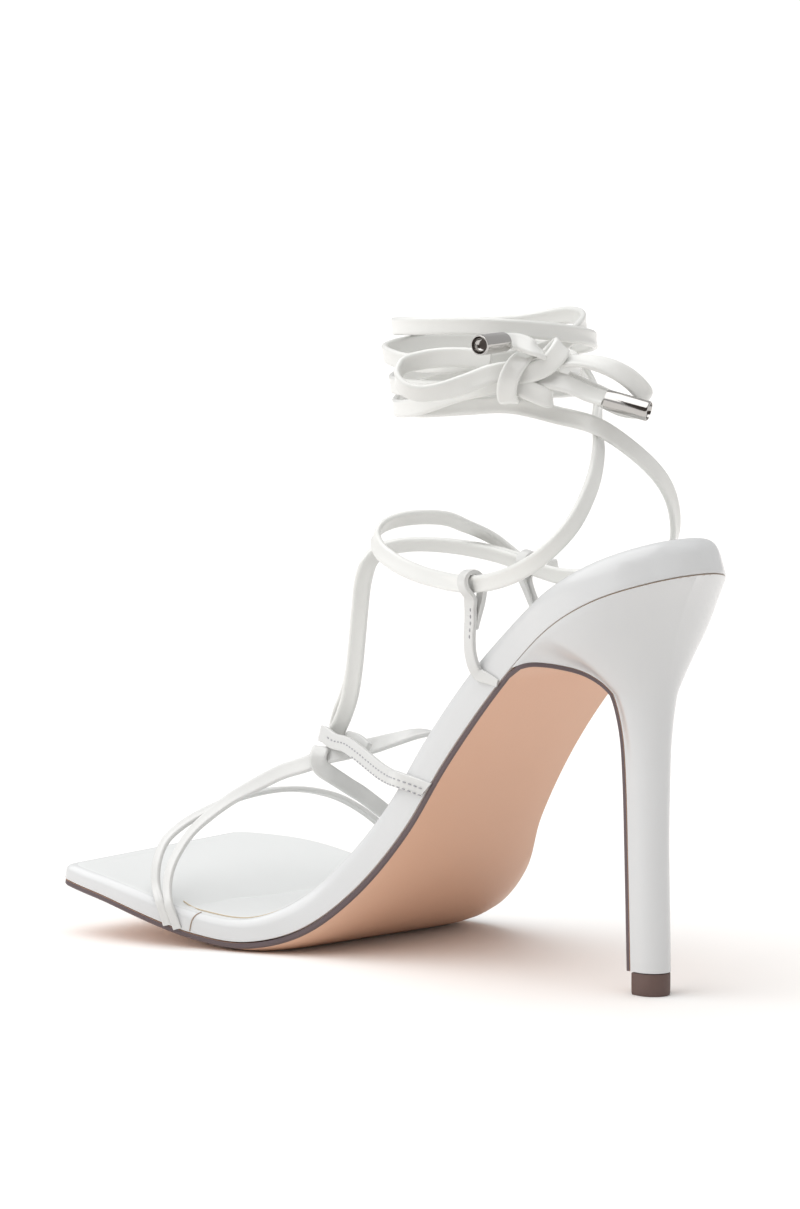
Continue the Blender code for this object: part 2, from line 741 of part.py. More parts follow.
def strap_face(points, face, feet):
    """Faces along a strap: away from the foot or along face, square to the wall at its feet."""
    if face is None:
        face = away_from_foot(points)
        face /= np.linalg.norm(face, axis=1)[:, None]
    face = np.broadcast_to(np.asarray(face, float), points.shape)
    along = np.concatenate([[0.0], np.cumsum(np.linalg.norm(np.diff(points, axis=0), axis=1))])
    for foot, distance in zip(feet, (along, along[-1] - along)):
        if foot is not None:
            share = np.clip(2.0 - 2.0 * distance / FOOT_BLEND, 0.0, 1.0)[:, None]
            face = face * (1.0 - share) + wall_way(foot[0], foot[1]) * share
    return face


def eye_ring(centre, way, face, size):
    """Closed round of places for a sewn eye: long along way, deep along face."""
    face = np.asarray(face, float) / np.linalg.norm(face)
    way = np.asarray(way, float)
    way = way - face * np.dot(way, face)
    way /= np.linalg.norm(way)
    turn = np.linspace(0.0, 2 * math.pi, EYE_STEPS + 1)[:-1]
    ring = np.cos(turn)[:, None] * way * size[0] + np.sin(turn)[:, None] * face * size[1]
    return np.asarray(centre, float) + ring


def strap(name, size, route, face=None, feet=(None, None)):
    """Strap along a free route between its feet, its flat side away from the foot or along face."""
    start, end = feet
    places = list(route)
    if start is not None:
        places = strap_foot(start, size[1]) + places
    if end is not None:
        places = places + strap_foot(end, size[1])[::-1]
    points = route_points(places, STRAP_STEP)
    verts, faces = band_shape(size, points, strap_face(points, face, feet))
    return mesh_object(name, WHITE_PATENT, verts, faces)


def join(base, others):
    """Boolean union of closed solids into the first one."""
    for other in others:
        other.hide_render = True
        other.display_type = "WIRE"
        union = base.modifiers.new(other.name, "BOOLEAN")
        union.operation = "UNION"
        union.solver = "EXACT"
        union.object = other
    return base


def eye_strap(name, size, centre, way, face, eye_size):
    """Closed band of a sewn eye, its flat side turned out from the eye's middle."""
    ring = eye_ring(centre, way, face, eye_size)
    verts, faces = band_shape(size, ring, ring - np.asarray(centre, float), closed=True)
    return mesh_object(name, WHITE_PATENT, verts, faces)


def upper_straps():
    """The upper: crossing toe straps, the outer strap sewn over the rear one and the instep strap."""
    base = strap("upper_straps", TOE_STRAP, TOE_STRAP_FRONT,
                 feet=(TOE_FRONT_INNER_FOOT, TOE_FRONT_OUTER_FOOT))
    parts = [
        strap("cut_toe_rear", REAR_STRAP, TOE_STRAP_REAR, feet=(TOE_REAR_INNER_FOOT, TOE_REAR_OUTER_FOOT)),
        strap("cut_outer_front", INSTEP_STRAP, OUTER_FRONT_STRAP, OUTER_FRONT_FACE, (None, OUTER_FRONT_FOOT)),
        strap("cut_instep", INSTEP_STRAP, INSTEP_STRAP_INNER, INSTEP_FACE, (INSTEP_FOOT, None)),
        eye_strap("cut_eye", INSTEP_STRAP, INSTEP_EYE, INSTEP_EYE_WAY, INSTEP_FACE, EYE_SIZE),
    ]
    return join(base, parts)


def heel_loop(name, foot, rise, eye, eye_way, eye_face, eye_size):
    """Folded strap beside the heel with a sewn eye at its top for the lace."""
    base = strap(name, LOOP_STRAP, rise, eye_face, (foot, None))
    ring = eye_strap("cut_" + name, LOOP_STRAP, eye, eye_way, eye_face, eye_size)
    return join(base, [ring])


def turns_to_places(turns):
    """Places on the shoe from turns round the ankle."""
    places = []
    for degrees, distance, height in turns:
        angle = math.radians(degrees)
        places.append((ANKLE[0] - distance * math.cos(angle), ANKLE[1] + distance * math.sin(angle), height))
    return places


def lace():
    """One flat lace: knot, outer turns, heel, outer loop, instep eye and back to the knot."""
    route = turns_to_places(OUTER_END_TURNS)[::-1] + list(LACE_MIDDLE)
    route += turns_to_places(INNER_END_TURNS)
    points = route_points(route, LACE_STEP)
    verts, faces = band_shape(LACE, points, away_from_foot(points))
    return mesh_object("lace", WHITE_PATENT, verts, faces)


def bow_band(name, route, lean):
    """Free stretch of the lace at the knot, its width along lean."""
    points = route_points(knot_places(route), STRAP_STEP)
    verts, faces = band_shape(LACE, points, np.cross(np.gradient(points, axis=0), lean))
    return mesh_object(name, WHITE_PATENT, verts, faces)


def knot_ways():
    """Directions at the knot: sideways towards the toe, outward from the ankle, up."""
    turn = math.radians(KNOT_TURN)
    sideways = (math.cos(turn), -math.sin(turn), 0.0)
    outward = (-math.sin(turn), -math.cos(turn), 0.0)
    return np.array([sideways, outward, (0.0, 0.0, 1.0)])


def knot_places(rows):
    """Places on the shoe from rows of the knot and bow tables."""
    return np.array([*KNOT, 0.0]) + np.asarray(rows, float) @ knot_ways()


def knot():
    """Outer shape of the knot, a rounded lump held clear of the lace that it ties."""
    body = bmesh.new()
    bmesh.ops.create_uvsphere(body, u_segments=KNOT_FACETS[0], v_segments=KNOT_FACETS[1], radius=0.5)
    local = np.array([vert.co for vert in body.verts]) * KNOT_SIZE
    verts = knot_places(local + (0.0, KNOT_OUT, KNOT_HEIGHT))
    body.verts.index_update()
    faces = [tuple(v.index for v in face.verts) for face in body.faces]
    body.free()
    return mesh_object("lace_knot", WHITE_PATENT, verts, faces)


def aglet(name, root, way):
    """Turned metal tip on a lace end, starting a gap away from the end."""
    root = knot_places(root)
    way = np.asarray(way, float) @ knot_ways()
    way /= np.linalg.norm(way)
    side = np.cross(way, (0.0, 0.0, 1.0))
    side /= np.linalg.norm(side)
    lift = np.cross(side, way)
    radius = AGLET_DIAMETER / 2
    turn = np.linspace(0.0, 2 * math.pi, AGLET_FACETS + 1)[:-1]
    rings = []
    for share, scale in AGLET_ROWS:
        centre = root + way * (AGLET_GAP + AGLET_LENGTH * share)
        circle = np.cos(turn)[:, None] * side + np.sin(turn)[:, None] * lift
        rings.append(centre + circle * radius * scale)
    faces = ring_faces(len(rings), len(turn))
    faces.append(tuple(range(len(turn))))
    faces.append(tuple(range((len(rings) - 1) * len(turn), len(rings) * len(turn))))
    return mesh_object(name, SILVER_METAL, np.concatenate(rings), faces)


def build():
    """All the pieces of the sandal."""
    for obj in list(bpy.data.objects):
        bpy.data.objects.remove(obj, do_unlink=True)
    footbed()
    outsole()
    heel()
    top_piece()
    upper_straps()
    heel_loop("heel_loop_inner", LOOP_INNER_FOOT, LOOP_RISE_INNER, LOOP_EYE_INNER,
              LOOP_EYE_INNER_WAY, LOOP_EYE_INNER_FACE, LOOP_INNER_SIZE)
    heel_loop("heel_loop_outer", LOOP_OUTER_FOOT, LOOP_RISE_OUTER, LOOP_EYE_OUTER,
              LOOP_EYE_OUTER_WAY, LOOP_EYE_OUTER_FACE, LOOP_OUTER_SIZE)
    lace()
    knot()
    bow_band("lace_bow_front", BOW_FRONT, (0.0, 0.0, 1.0))
    bow_band("lace_bow_back", BOW_BACK, (0.0, 0.0, 1.0))
    bow_band("lace_end_front", END_FRONT, (0.0, 0.0, 1.0))
    bow_band("lace_end_back", END_BACK, (0.0, 0.0, 1.0))
    aglet("aglet_front", END_FRONT[-1], AGLET_FRONT_WAY)
    aglet("aglet_back", END_BACK[-1], AGLET_BACK_WAY)


build()
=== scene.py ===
"""Looks of a right stiletto sandal: fine surfaces, straps, a tied lace, stitching and soft studio light.

A place on the shoe is written (station, across, height) in millimetres: station runs from the back of the
seat to the toe, across from the inner side (negative) to the outer side, and height is above the floor.
"""
import math

import bmesh
import bpy
import numpy as np
from mathutils import Matrix, Vector

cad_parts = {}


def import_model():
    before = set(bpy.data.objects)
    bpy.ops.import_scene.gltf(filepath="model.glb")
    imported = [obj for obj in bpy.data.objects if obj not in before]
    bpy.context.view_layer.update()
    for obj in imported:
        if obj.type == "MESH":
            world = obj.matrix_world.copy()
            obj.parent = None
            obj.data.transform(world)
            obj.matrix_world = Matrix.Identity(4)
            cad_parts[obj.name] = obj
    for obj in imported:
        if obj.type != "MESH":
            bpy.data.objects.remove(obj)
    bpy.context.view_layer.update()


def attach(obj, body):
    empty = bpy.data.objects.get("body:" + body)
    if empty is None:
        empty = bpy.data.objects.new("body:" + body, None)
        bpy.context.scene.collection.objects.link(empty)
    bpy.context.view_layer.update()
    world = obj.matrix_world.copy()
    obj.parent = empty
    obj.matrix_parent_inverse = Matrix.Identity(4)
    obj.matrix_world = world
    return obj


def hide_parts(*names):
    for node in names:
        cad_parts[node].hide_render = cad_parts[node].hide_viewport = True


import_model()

MM = 0.001
GAP = 0.3
PROBE = 0.5
INNER, OUTER = 0, 1

# Place of the frame's origin on the floor: station, across.
ORIGIN = (96.95, -0.45)

SOLE_LENGTH = 193.4
SEAT_ROUND = 30.0
SEAT_FULLNESS = 2.3
HEEL_LINE = -2.1
BREAST_TOP = 48.2

SOLE_EDGE = 1.3
FLAP_EDGE = 1.1
SOLE_CROWN = 1.9
WAIST_CROWN = 0.5
FLAP_CROWN = 0.25
WAIST_END = 70.0
TREAD_START = 120.0
SOLE_INSET = 0.2
WELT_INSET = 0.55

# Painted edge: rows over which it thins towards the flap; share of the half width and rise of its bevel.
EDGE_FADE = 12
EDGE_BEVEL = (0.985, 0.25)

# Sections of the bands: width, thickness, corner, dip along the faces, groove between the plies.
TOE_STRAP = (2.5, 1.5, 0.6, 0.08)
REAR_STRAP = (4.6, 1.5, 0.6, 0.08)
OUTER_STRAP = (4.2, 1.4, 0.5, 0.06)
INSTEP_STRAP = (4.2, 1.4, 0.28, 0.0, 0.16)
LOOP_STRAP = (4.0, 1.3, 0.32, 0.0, 0.14)
LACE = (4.6, 1.6, 0.8, 0.14)
BOW_LACE = (5.2, 1.5, 0.75, 0.14)
SEAM_LINE = (0.3, 0.3, 0.1)
WELT_LINE = (0.42, 0.5, 0.1)

# Shares of a band's width and where it changes: by places across, by millimetres or share along it.
REAR_FOOT_WIDTH = 0.54
REAR_WIDENS = (-34.0, -6.0)
REAR_TURNS = ((-26.0, -16.0), (14.0, 4.0))
OUTER_WIDTH = 1.1
LOOP_OUTER_WIDTH = 0.65
LOOP_FOOT = (0.55, 10.0)
LOOP_TAIL = (0.4, 0.86)

# Steps and soft windows along the bands; sewn eyes and stitches.
BAND_STEP = 1.6
FINE_STEP = 0.25
ROUTE_EASE = 1.5
INSTEP_EASE = 3.0
LOOP_EASE = 2.4
LOOP_EYE_MARGIN = 0.9
TURN_STEP = 9.0
FACE_PULL = 1.5
EYE_SIZE = (4.5, 4.0)
EYE_REACH = 5.2
EYE_TURN = (88, 60, 30, 0, -30, -60, -95, -125)
LOOP_TURN = (132, 100, 65, 30, 0, -30, -65, -100, -132)
STITCH_PITCH = 1.9
STITCH_LENGTH = 1.2
STITCH_WIDTH = 0.36
STITCH_LIFT = 0.04
STITCH_SINK = 0.16
TOE_CORNER = 2.4

# Roll of the toe towards the inner side: height gained for each millimetre across, from this station on.
TOE_ROLL = 0.039
TOE_ROLL_FROM = 165.0

SOCK_HOLLOW = 0.5
RAND_SEAM = 150.4
RAND_SEAM_LEAN = -0.8
SEAM_LIFT = 0.05

# Where and how deep the lining's front edge sinks under the wrap of the toe, and the bed under it.
SOCK_FRONT = 153.0
SOCK_FRONT_END = 159.0
SOCK_SINK = 1.2
SOCK_BED = 0.4

# Distances from the toe's end between which the wrap's hollow runs out.
TOE_FLAT = (4.0, 24.0)

FLOOR_DROP = 0.05
FLOOR_REACH = 40.0
COAT_ROUGHNESS = 0.12

# Dark card behind the camera, in metres: its two feet, its lower and upper edge.
CARD_FOOT = ((0.85, -2.25), (2.3, -0.8))
CARD_SPAN = (0.05, 2.0)

CAMERA_TURN = 45.97
CAMERA_RISE = 6.74
CAMERA_PLACE = (1.26285, -1.23495, 0.3015)
FOCAL_PIXELS = 6818.6
PHOTO_HEIGHT = 1209
SENSOR = 36.0

# Soft light from over the left shoulder of the camera: way to it, strength, spread in degrees.
KEY_WAY = (-0.16, -0.42, 0.89)
KEY_STRENGTH = 2.65
KEY_SPREAD = 96.0
SURROUND = (1.0, 1.0, 1.0)
SURROUND_STRENGTH = 0.60

ANKLE = (75.0, -3.6)
AGLET_LENGTH = 11.5
AGLET_DIAMETER = 5.2
AGLET_GAP = 0.5

# Sections of the last, from the back of the seat to the toe.
# station, height of the feather line, inner edge, outer edge, thickness of the wrapped footbed
LAST = (
    (0.0, 109.0, -29.6, 19.6, 10.2),
    (15.0, 102.9, -29.2, 21.2, 9.4),
    (30.0, 94.8, -27.6, 23.4, 9.0),
    (45.0, 85.2, -23.2, 23.3, 9.0),
    (60.0, 71.7, -21.4, 24.3, 9.6),
    (75.0, 54.9, -21.0, 26.0, 9.6),
    (90.0, 35.8, -20.6, 30.0, 9.4),
    (105.0, 19.3, -23.4, 39.7, 9.0),
    (120.0, 7.6, -28.4, 44.1, 7.8),
    (135.0, 2.9, -34.6, 44.7, 6.1),
    (150.0, 4.2, -40.0, 43.6, 5.6),
    (165.0, 8.8, -45.8, 40.3, 5.2),
    (180.0, 13.6, -47.6, 31.2, 4.6),
    (SOLE_LENGTH, 17.0, -47.4, 14.6, 4.1),
)

# Sections of the heel, from the seat down to the tip.
# breast station, breast height, back station, back height, half width at the breast, widest half
HEEL = (
    (BREAST_TOP, 82.8, 0.0, 109.0, 22.3, 25.4),
    (42.1, 84.6, 4.0, 102.6, 16.6, 21.8),
    (35.1, 84.1, 7.8, 94.5, 11.2, 17.2),
    (30.0, 81.8, 10.6, 86.5, 7.6, 12.6),
    (26.3, 76.6, 12.5, 77.0, 5.8, 8.7),
    (23.6, 67.0, 13.4, 66.0, 5.1, 6.2),
    (22.5, 54.9, 13.6, 54.0, 4.9, 5.2),
    (21.8, 36.0, 13.7, 36.0, 4.8, 4.9),
    (21.0, 6.0, 12.8, 6.0, 4.6, 4.7),
)
HEEL_STEPS = 8
SEAT_BLEND_ROWS = 4.0

# Walking piece from the floor up: scale of the heel's tip, height.
TOP_PIECE_ROWS = ((0.90, 0.0), (0.93, 0.12), (0.955, 0.5), (0.96, 2.6), (0.96, 5.45), (0.94, 5.75))

# Rim of the footbed from its underside up and over to its top: inset, share of its thickness, lift.
FOOTBED_RIM = (
    (0.5, 0.0, 0.0), (0.1, 0.015, 0.0), (0.0, 0.06, 0.0), (0.0, 0.16, 0.0), (0.0, 0.35, 0.0),
    (0.0, 0.55, 0.0), (0.1, 0.68, 0.0), (0.35, 0.79, 0.0), (0.75, 0.88, 0.0), (1.3, 0.945, 0.0),
    (2.0, 0.985, 0.0), (2.9, 1.0, 0.0), (4.2, 0.99, 0.0),
)
SOCK_RIM = (
    (4.2, 0.99, -0.8), (3.9, 0.99, 0.02), (3.95, 0.99, 0.22), (4.3, 0.99, 0.34), (5.2, 0.985, 0.36),
)

# Edge line of the lining by the ball and where it runs in under the straps: stations, inset; then both.
SOCK_LINE = (118.0, 150.0)
SOCK_LINE_INSET = 3.85
SOCK_LINE_END = ((151.4, 3.9), (152.8, 4.1), (154.4, 4.6), (156.2, 5.4), (158.0, 6.4))

# Creases of the lining: station, across, lean, half width, half length, height.
SOCK_CREASES = (
    (158.0, -22.0, 0.9, 2.4, 14.0, 0.35), (150.0, -14.0, 1.1, 2.0, 12.0, 0.3),
    (144.0, -22.0, 0.7, 2.2, 10.0, 0.28),
)

# Middle line of the foot and leg that the straps and the lace lie around.
FOOT_LINE = (
    (190.0, -12.0, 16.0), (165.0, -5.0, 20.0), (150.0, 0.0, 22.0), (137.0, -4.0, 26.0),
    (120.0, -16.0, 45.0), (106.0, -26.0, 66.0), (94.0, -22.0, 88.0), (80.0, -8.0, 110.0), (*ANKLE, 125.0),
    (*ANKLE, 180.0),
)

# Feet of the straps on the footbed's wall: side, station at the feather line, station at the top edge,
# share of the wall that the strap lies against.
TOE_FRONT_FEET = ((INNER, 156.3, 159.0, 1.0), (OUTER, 148.0, 148.4, 1.0))
TOE_REAR_FEET = ((INNER, 153.6, 156.6, 1.0), (OUTER, 98.0, 101.0, 1.0))
OUTER_FRONT_FEET = (None, (OUTER, 125.0, 126.0, 1.0))
INSTEP_FEET = ((INNER, 80.7, 83.7, 1.0), None)
LOOP_INNER_FEET = ((INNER, 53.4, 57.6, 0.66), None)
LOOP_OUTER_FEET = ((OUTER, 64.0, 68.0, 1.0), None)

# Places up a strap's foot: share of the way between its stations, share of the footbed's thickness.
FOOT_PLACES = ((0.0, 0.0), (0.5, 0.5), (1.0, 0.98))
FOOT_BLEND = 16.0
FOOT_GAP = 0.06
FOOT_TAPER = 9.0
FOOT_THICKNESS = 0.3
SLANT_REACH = 12.0
INSTEP_SLANT = 0.75

# Free stretches of the straps between their feet, as places on the shoe.
TOE_STRAP_FRONT = (
    (160.4, -43.0, 15.8), (162.0, -41.2, 21.8), (163.0, -37.6, 26.7), (162.5, -31.8, 30.7),
    (159.6, -25.8, 34.2), (156.4, -20.5, 36.7), (156.2, -8.4, 38.0), (155.9, 1.2, 37.8),
    (155.0, 10.2, 36.4), (153.6, 17.6, 34.0), (152.3, 22.6, 31.2), (150.4, 32.0, 24.0),
)
TOE_STRAP_REAR = (
    (156.9, -42.2, 15.1), (158.0, -40.2, 20.1), (158.7, -36.6, 24.6), (158.5, -31.4, 29.8),
    (157.3, -26.4, 33.5), (155.4, -21.0, 37.2), (150.9, -15.4, 41.2), (145.1, -11.2, 44.9),
    (138.9, -8.2, 47.3), (135.2, -5.2, 49.4), (131.2, -2.4, 50.6), (129.6, 0.8, 51.2), (127.8, 4.6, 51.9),
    (124.4, 9.0, 53.4), (118.6, 16.4, 55.2), (112.6, 26.4, 50.2),
)
OUTER_FRONT_HOOKED = (
    (137.0, -4.4, 49.6), (136.7, -4.9, 50.9), (135.9, -6.0, 51.6), (135.4, -7.2, 50.5),
    (135.4, -7.8, 48.6), (134.8, -7.2, 46.7), (133.6, -5.0, 44.8), (133.5, -1.4, 42.7),
    (133.9, 2.6, 40.5), (134.2, 7.0, 38.2), (134.8, 12.0, 35.2), (132.0, 28.0, 23.4),
)
HOOK_MIDDLE = (136.2, -5.9, 49.6)
HOOK_REACH = (4.0, 8.0)
HOOK_REST = (14.0, 30.0)
OUTER_FRONT_FACE = (-0.6, -0.64, 0.48)
INSTEP_STRAP_INNER = (
    (96.0, -18.9, 49.2), (102.0, -16.7, 49.9), (107.4, -14.4, 50.8), (116.5, -10.8, 52.6),
    (124.9, -7.4, 53.8), (132.9, -5.0, 53.9),
)
INSTEP_FACE = (0.2, -0.93, 0.3)
INSTEP_EYE = (136.0, -0.4, 54.0)
INSTEP_EYE_WAY = (1.0, 0.1, 0.0)
INSTEP_TAIL = ((131.6, -0.6, 54.0), (128.0, -2.0, 54.2), (123.0, -4.0, 53.8), (118.0, -6.2, 52.8))
INSTEP_STITCH_ROWS = ((-0.1, 58.0), (1.75, 40.0))
INSTEP_STITCH_START = 1.6

# Loops beside the heel: way up to the eye; the eye's middle, way, face and size; tail behind it.
LOOP_RISE_INNER = (
    (61.3, -23.2, 82.4), (61.8, -23.6, 85.2), (61.7, -24.0, 89.1), (60.3, -25.0, 95.0),
    (59.6, -25.9, 98.4),
)
LOOP_EYE_INNER = ((58.4, -26.4, 103.4), (0.21, -0.39, 0.89), (0.20, -0.88, -0.43), (3.4, 2.7))
LOOP_RISE_OUTER = ((80.0, 27.6, 76.0), (84.6, 26.4, 85.0), (87.6, 25.0, 92.6), (88.8, 23.9, 98.6))
LOOP_EYE_OUTER = ((88.8, 23.8, 102.3), (-0.15, 0.35, 0.92), (0.24, 0.92, -0.31), (3.0, 3.6))
LOOP_TAIL_INNER = ((58.0, -23.8, 98.6), (59.0, -23.8, 95.4), (60.6, -23.2, 91.6))
LOOP_TAIL_OUTER = ((87.6, 22.6, 95.0), (86.0, 23.6, 90.0))
LOOP_STITCH_ROWS = ((-0.8, 26.0),)
LOOP_STITCH_START = 17.4

# Turns of the lace round the ankle: turn in degrees from the back, towards the outer side when
# positive, distance from the ankle's middle line, height.
OUTER_END_TURNS = (
    (-34, 27.4, 149.0), (-62, 24.0, 148.2), (-90, 22.0, 147.0), (-135, 21.5, 146.0), (-180, 21.5, 146.0),
    (-225, 21.5, 148.0), (-270, 21.5, 149.5), (-315, 21.5, 151.0), (-360, 21.5, 152.0),
    (-405, 21.5, 152.7), (-450, 23.0, 152.0), (-495, 25.2, 152.2), (-540, 23.0, 154.6),
    (-585, 21.5, 157.0), (-630, 21.5, 158.2), (-675, 22.0, 158.2), (-705, 25.0, 157.0),
    (-729, 29.4, 156.0),
)
INNER_END_TURNS = (
    (22, 30.0, 148.6), (45, 26.0, 152.6), (90, 24.2, 159.2), (135, 24.0, 160.8), (180, 24.8, 161.2),
    (225, 27.0, 160.0), (270, 24.6, 158.6), (315, 24.0, 159.6), (360, 24.0, 163.4), (405, 24.0, 168.2),
    (440, 25.0, 168.7), (480, 26.2, 165.7), (520, 25.8, 164.8), (560, 24.8, 166.0), (585, 24.6, 166.8),
    (630, 25.9, 168.4), (675, 26.6, 168.8), (720, 26.8, 166.6), (765, 26.8, 163.2), (810, 26.5, 159.6),
    (855, 26.5, 154.6), (900, 25.4, 149.4), (945, 24.4, 146.2), (990, 25.6, 147.8), (1022, 27.6, 152.4),
    (1041, 29.8, 154.6),
)

# The lace from the ankle down to the instep eye and back up, as places on the shoe.
LACE_MIDDLE = (
    (44.0, -9.8, 146.2), (34.2, -6.0, 143.9), (28.0, 0.4, 138.0), (25.2, 5.9, 132.4), (26.0, 11.9, 126.4),
    (28.4, 16.6, 120.0), (32.6, 20.6, 113.0), (46.0, 25.0, 105.2), (62.0, 25.8, 100.8),
    (78.0, 24.4, 99.9), (84.8, 23.4, 101.1), (91.4, 22.2, 102.8), (101.4, 20.2, 104.6),
    (111.4, 16.0, 105.8), (116.2, 13.0, 106.0), (119.8, 9.8, 105.8), (122.4, 6.0, 105.0),
    (123.8, 2.6, 103.6), (124.8, 0.6, 101.0), (126.1, 0.0, 96.8), (127.2, 0.0, 89.8), (128.6, 0.0, 79.0),
    (129.8, 0.0, 71.0), (131.4, 0.0, 64.6), (133.8, 0.0, 59.4), (136.2, -0.3, 54.6), (136.8, -0.3, 51.4),
    (138.4, 1.6, 49.1), (140.2, 3.8, 51.2), (140.3, 4.0, 55.0), (138.2, 3.4, 60.0), (134.2, 2.2, 65.4),
    (131.6, 1.8, 71.6), (130.4, 1.8, 79.4), (129.0, 1.8, 90.0), (127.8, 2.0, 97.0), (126.6, 2.6, 101.0),
    (126.0, 4.2, 103.4), (124.6, 7.2, 104.8), (121.8, 11.2, 105.6), (117.8, 14.8, 105.8),
    (112.8, 18.2, 105.6), (102.4, 22.4, 104.6), (97.0, 23.6, 103.8), (91.8, 24.5, 102.8),
    (88.8, 25.0, 102.2), (86.4, 25.3, 101.7), (84.2, 26.2, 101.4), (83.3, 28.2, 101.4),
    (84.2, 30.2, 101.2), (86.4, 31.3, 101.0), (89.6, 31.4, 101.0), (94.6, 29.4, 101.6),
    (98.4, 27.4, 104.4), (101.3, 25.2, 107.1), (103.4, 20.2, 110.0), (104.4, 16.6, 111.5),
    (106.2, 12.6, 113.4), (108.0, 8.0, 114.2), (110.6, 3.0, 114.2), (112.6, -2.0, 113.4),
    (113.2, -5.8, 112.0), (112.4, -8.6, 109.9), (109.6, -10.2, 107.4), (102.6, -12.4, 105.0),
    (89.6, -16.2, 103.0), (76.2, -20.4, 102.5), (66.2, -23.8, 102.7), (58.4, -26.4, 103.4),
    (49.8, -28.4, 104.8), (40.0, -29.2, 107.9), (32.2, -28.0, 112.4), (26.6, -23.4, 119.8),
    (26.7, -16.1, 129.0), (32.6, -7.0, 138.0), (40.2, 0.2, 144.1),
)

# Way the lace's flat side faces by the instep and the heel: row of the table above, then the way.
LACE_FACES = (
    ((9, 0.2, 0.9, 0.3), (12, 0.35, 0.8, 0.5), (15, 0.6, 0.55, 0.6), (17, 0.75, 0.5, 0.45)),
    ((36, 0.75, 0.5, 0.45), (39, 0.6, 0.55, 0.6), (42, 0.35, 0.8, 0.5), (45, 0.2, 0.9, 0.3)),
    ((50, 0.1, 0.6, 0.8), (54, 0.3, 0.6, 0.75), (56, 0.45, 0.65, 0.6), (59, 0.8, 0.35, 0.5),
     (61, 0.8, -0.3, 0.5), (63, 0.5, -0.75, 0.45), (65, 0.3, -0.85, 0.4), (67, 0.25, -0.9, 0.1),
     (68, 0.2, -0.88, -0.3), (70, 0.0, -0.95, -0.3)),
)

# The knot and the bow: sideways towards the toe, outward from the ankle, height.
KNOT = (45.9, -19.1)
KNOT_TURN = 44.0
BOW_FRONT = (
    (9.0, 2.4, 157.4), (14.9, 3.2, 155.2), (22.4, 4.2, 153.1), (27.5, 4.2, 152.6), (31.0, 3.0, 153.7),
    (33.0, 0.5, 156.3), (31.5, -2.0, 159.1), (27.4, -3.0, 160.3), (19.9, -2.8, 161.2),
    (13.0, -1.6, 161.0), (9.4, -0.6, 160.6),
)
BOW_BACK = (
    (-8.0, 1.6, 160.6), (-11.4, 2.2, 160.8), (-17.4, 2.8, 160.2), (-23.2, 2.6, 158.0),
    (-27.4, 1.6, 154.8), (-29.8, 0.2, 151.4), (-29.2, -2.2, 148.6), (-25.4, -3.6, 148.4),
    (-17.6, -3.4, 151.8), (-9.6, -1.6, 155.6),
)
END_FRONT = (
    (-1.4, 5.6, 164.2), (0.8, 5.2, 165.3), (2.8, 5.0, 165.8), (4.4, 5.8, 165.9), (5.3, 7.2, 166.0),
    (5.8, 8.8, 166.0),
)
AGLET_FRONT_WAY = (0.5, 0.866, 0.0)
END_BACK = (
    (-8.8, 3.4, 155.4), (-11.6, 3.2, 154.4), (-15.2, 3.2, 152.7), (-17.6, 3.7, 151.9),
    (-19.4, 4.2, 151.4),
)
AGLET_BACK_WAY = (-0.92, 0.24, -0.24)

# Metal tip from its root to its mouth: share of its length, share of its radius, 1 where shade is painted in
# its mouth.
TIP_ROWS = (
    (0.0, 0.80, 0), (0.0, 0.97, 0), (0.04, 1.0, 0), (0.5, 1.0, 0), (0.95, 1.0, 0), (0.985, 0.985, 0),
    (1.0, 0.94, 0), (1.0, 0.86, 0), (0.9, 0.8, 0), (0.82, 0.5, 0), (0.82, 0.2, 1),
)

# Seam along a tip: place round it, width, share of the radius that it is deep.
TIP_SEAM = (1.2, 0.07, 0.06)

# Thread stitch from end to end: share of its half length, share of its girth.
STITCH_ROWS = (
    (-1.0, 0.15), (-0.86, 0.7), (-0.45, 1.0), (0.0, 1.0), (0.45, 1.0), (0.86, 0.7), (1.0, 0.15),
)

# Way the flat side of a tied band faces: share of the band's length, sideways, outward, up.
LACE_FRONT_FACES = (
    (0.0, 0.0, -1.0, 0.1), (0.36, 1.0, 0.0, 0.1), (0.72, 0.0, 1.0, 0.15), (0.86, 0.0, 0.75, 0.65),
    (1.0, 0.0, 0.6, 0.8),
)
LACE_BACK_FACES = (
    (0.0, 0.0, -1.0, 0.2), (0.25, -0.3, -0.9, -0.2), (0.42, -0.2, 1.0, 0.1), (0.55, -0.3, 0.75, 0.6),
    (0.66, 0.0, 0.3, 1.0), (0.8, 0.0, 0.6, 0.8), (1.0, 0.0, 0.8, 0.5),
)
WRAP_FACES = ((0.0, 0.0, 0.0, 1.0), (0.5, 0.1, 1.0, 0.0), (1.0, 0.0, 0.0, -1.0))
FOLD_FACES = ((0.0, 0.0, 1.0, 0.0), (0.45, 0.0, 0.95, 0.2), (0.7, -0.7, 0.5, 0.5), (1.0, 0.0, -1.0, 0.0))
LOBE_FACES = ((0.0, 0.0, 1.0, 0.2), (0.5, 0.0, 1.0, -0.1), (0.7, -1.0, 0.0, 0.0), (1.0, 0.0, -1.0, 0.0))

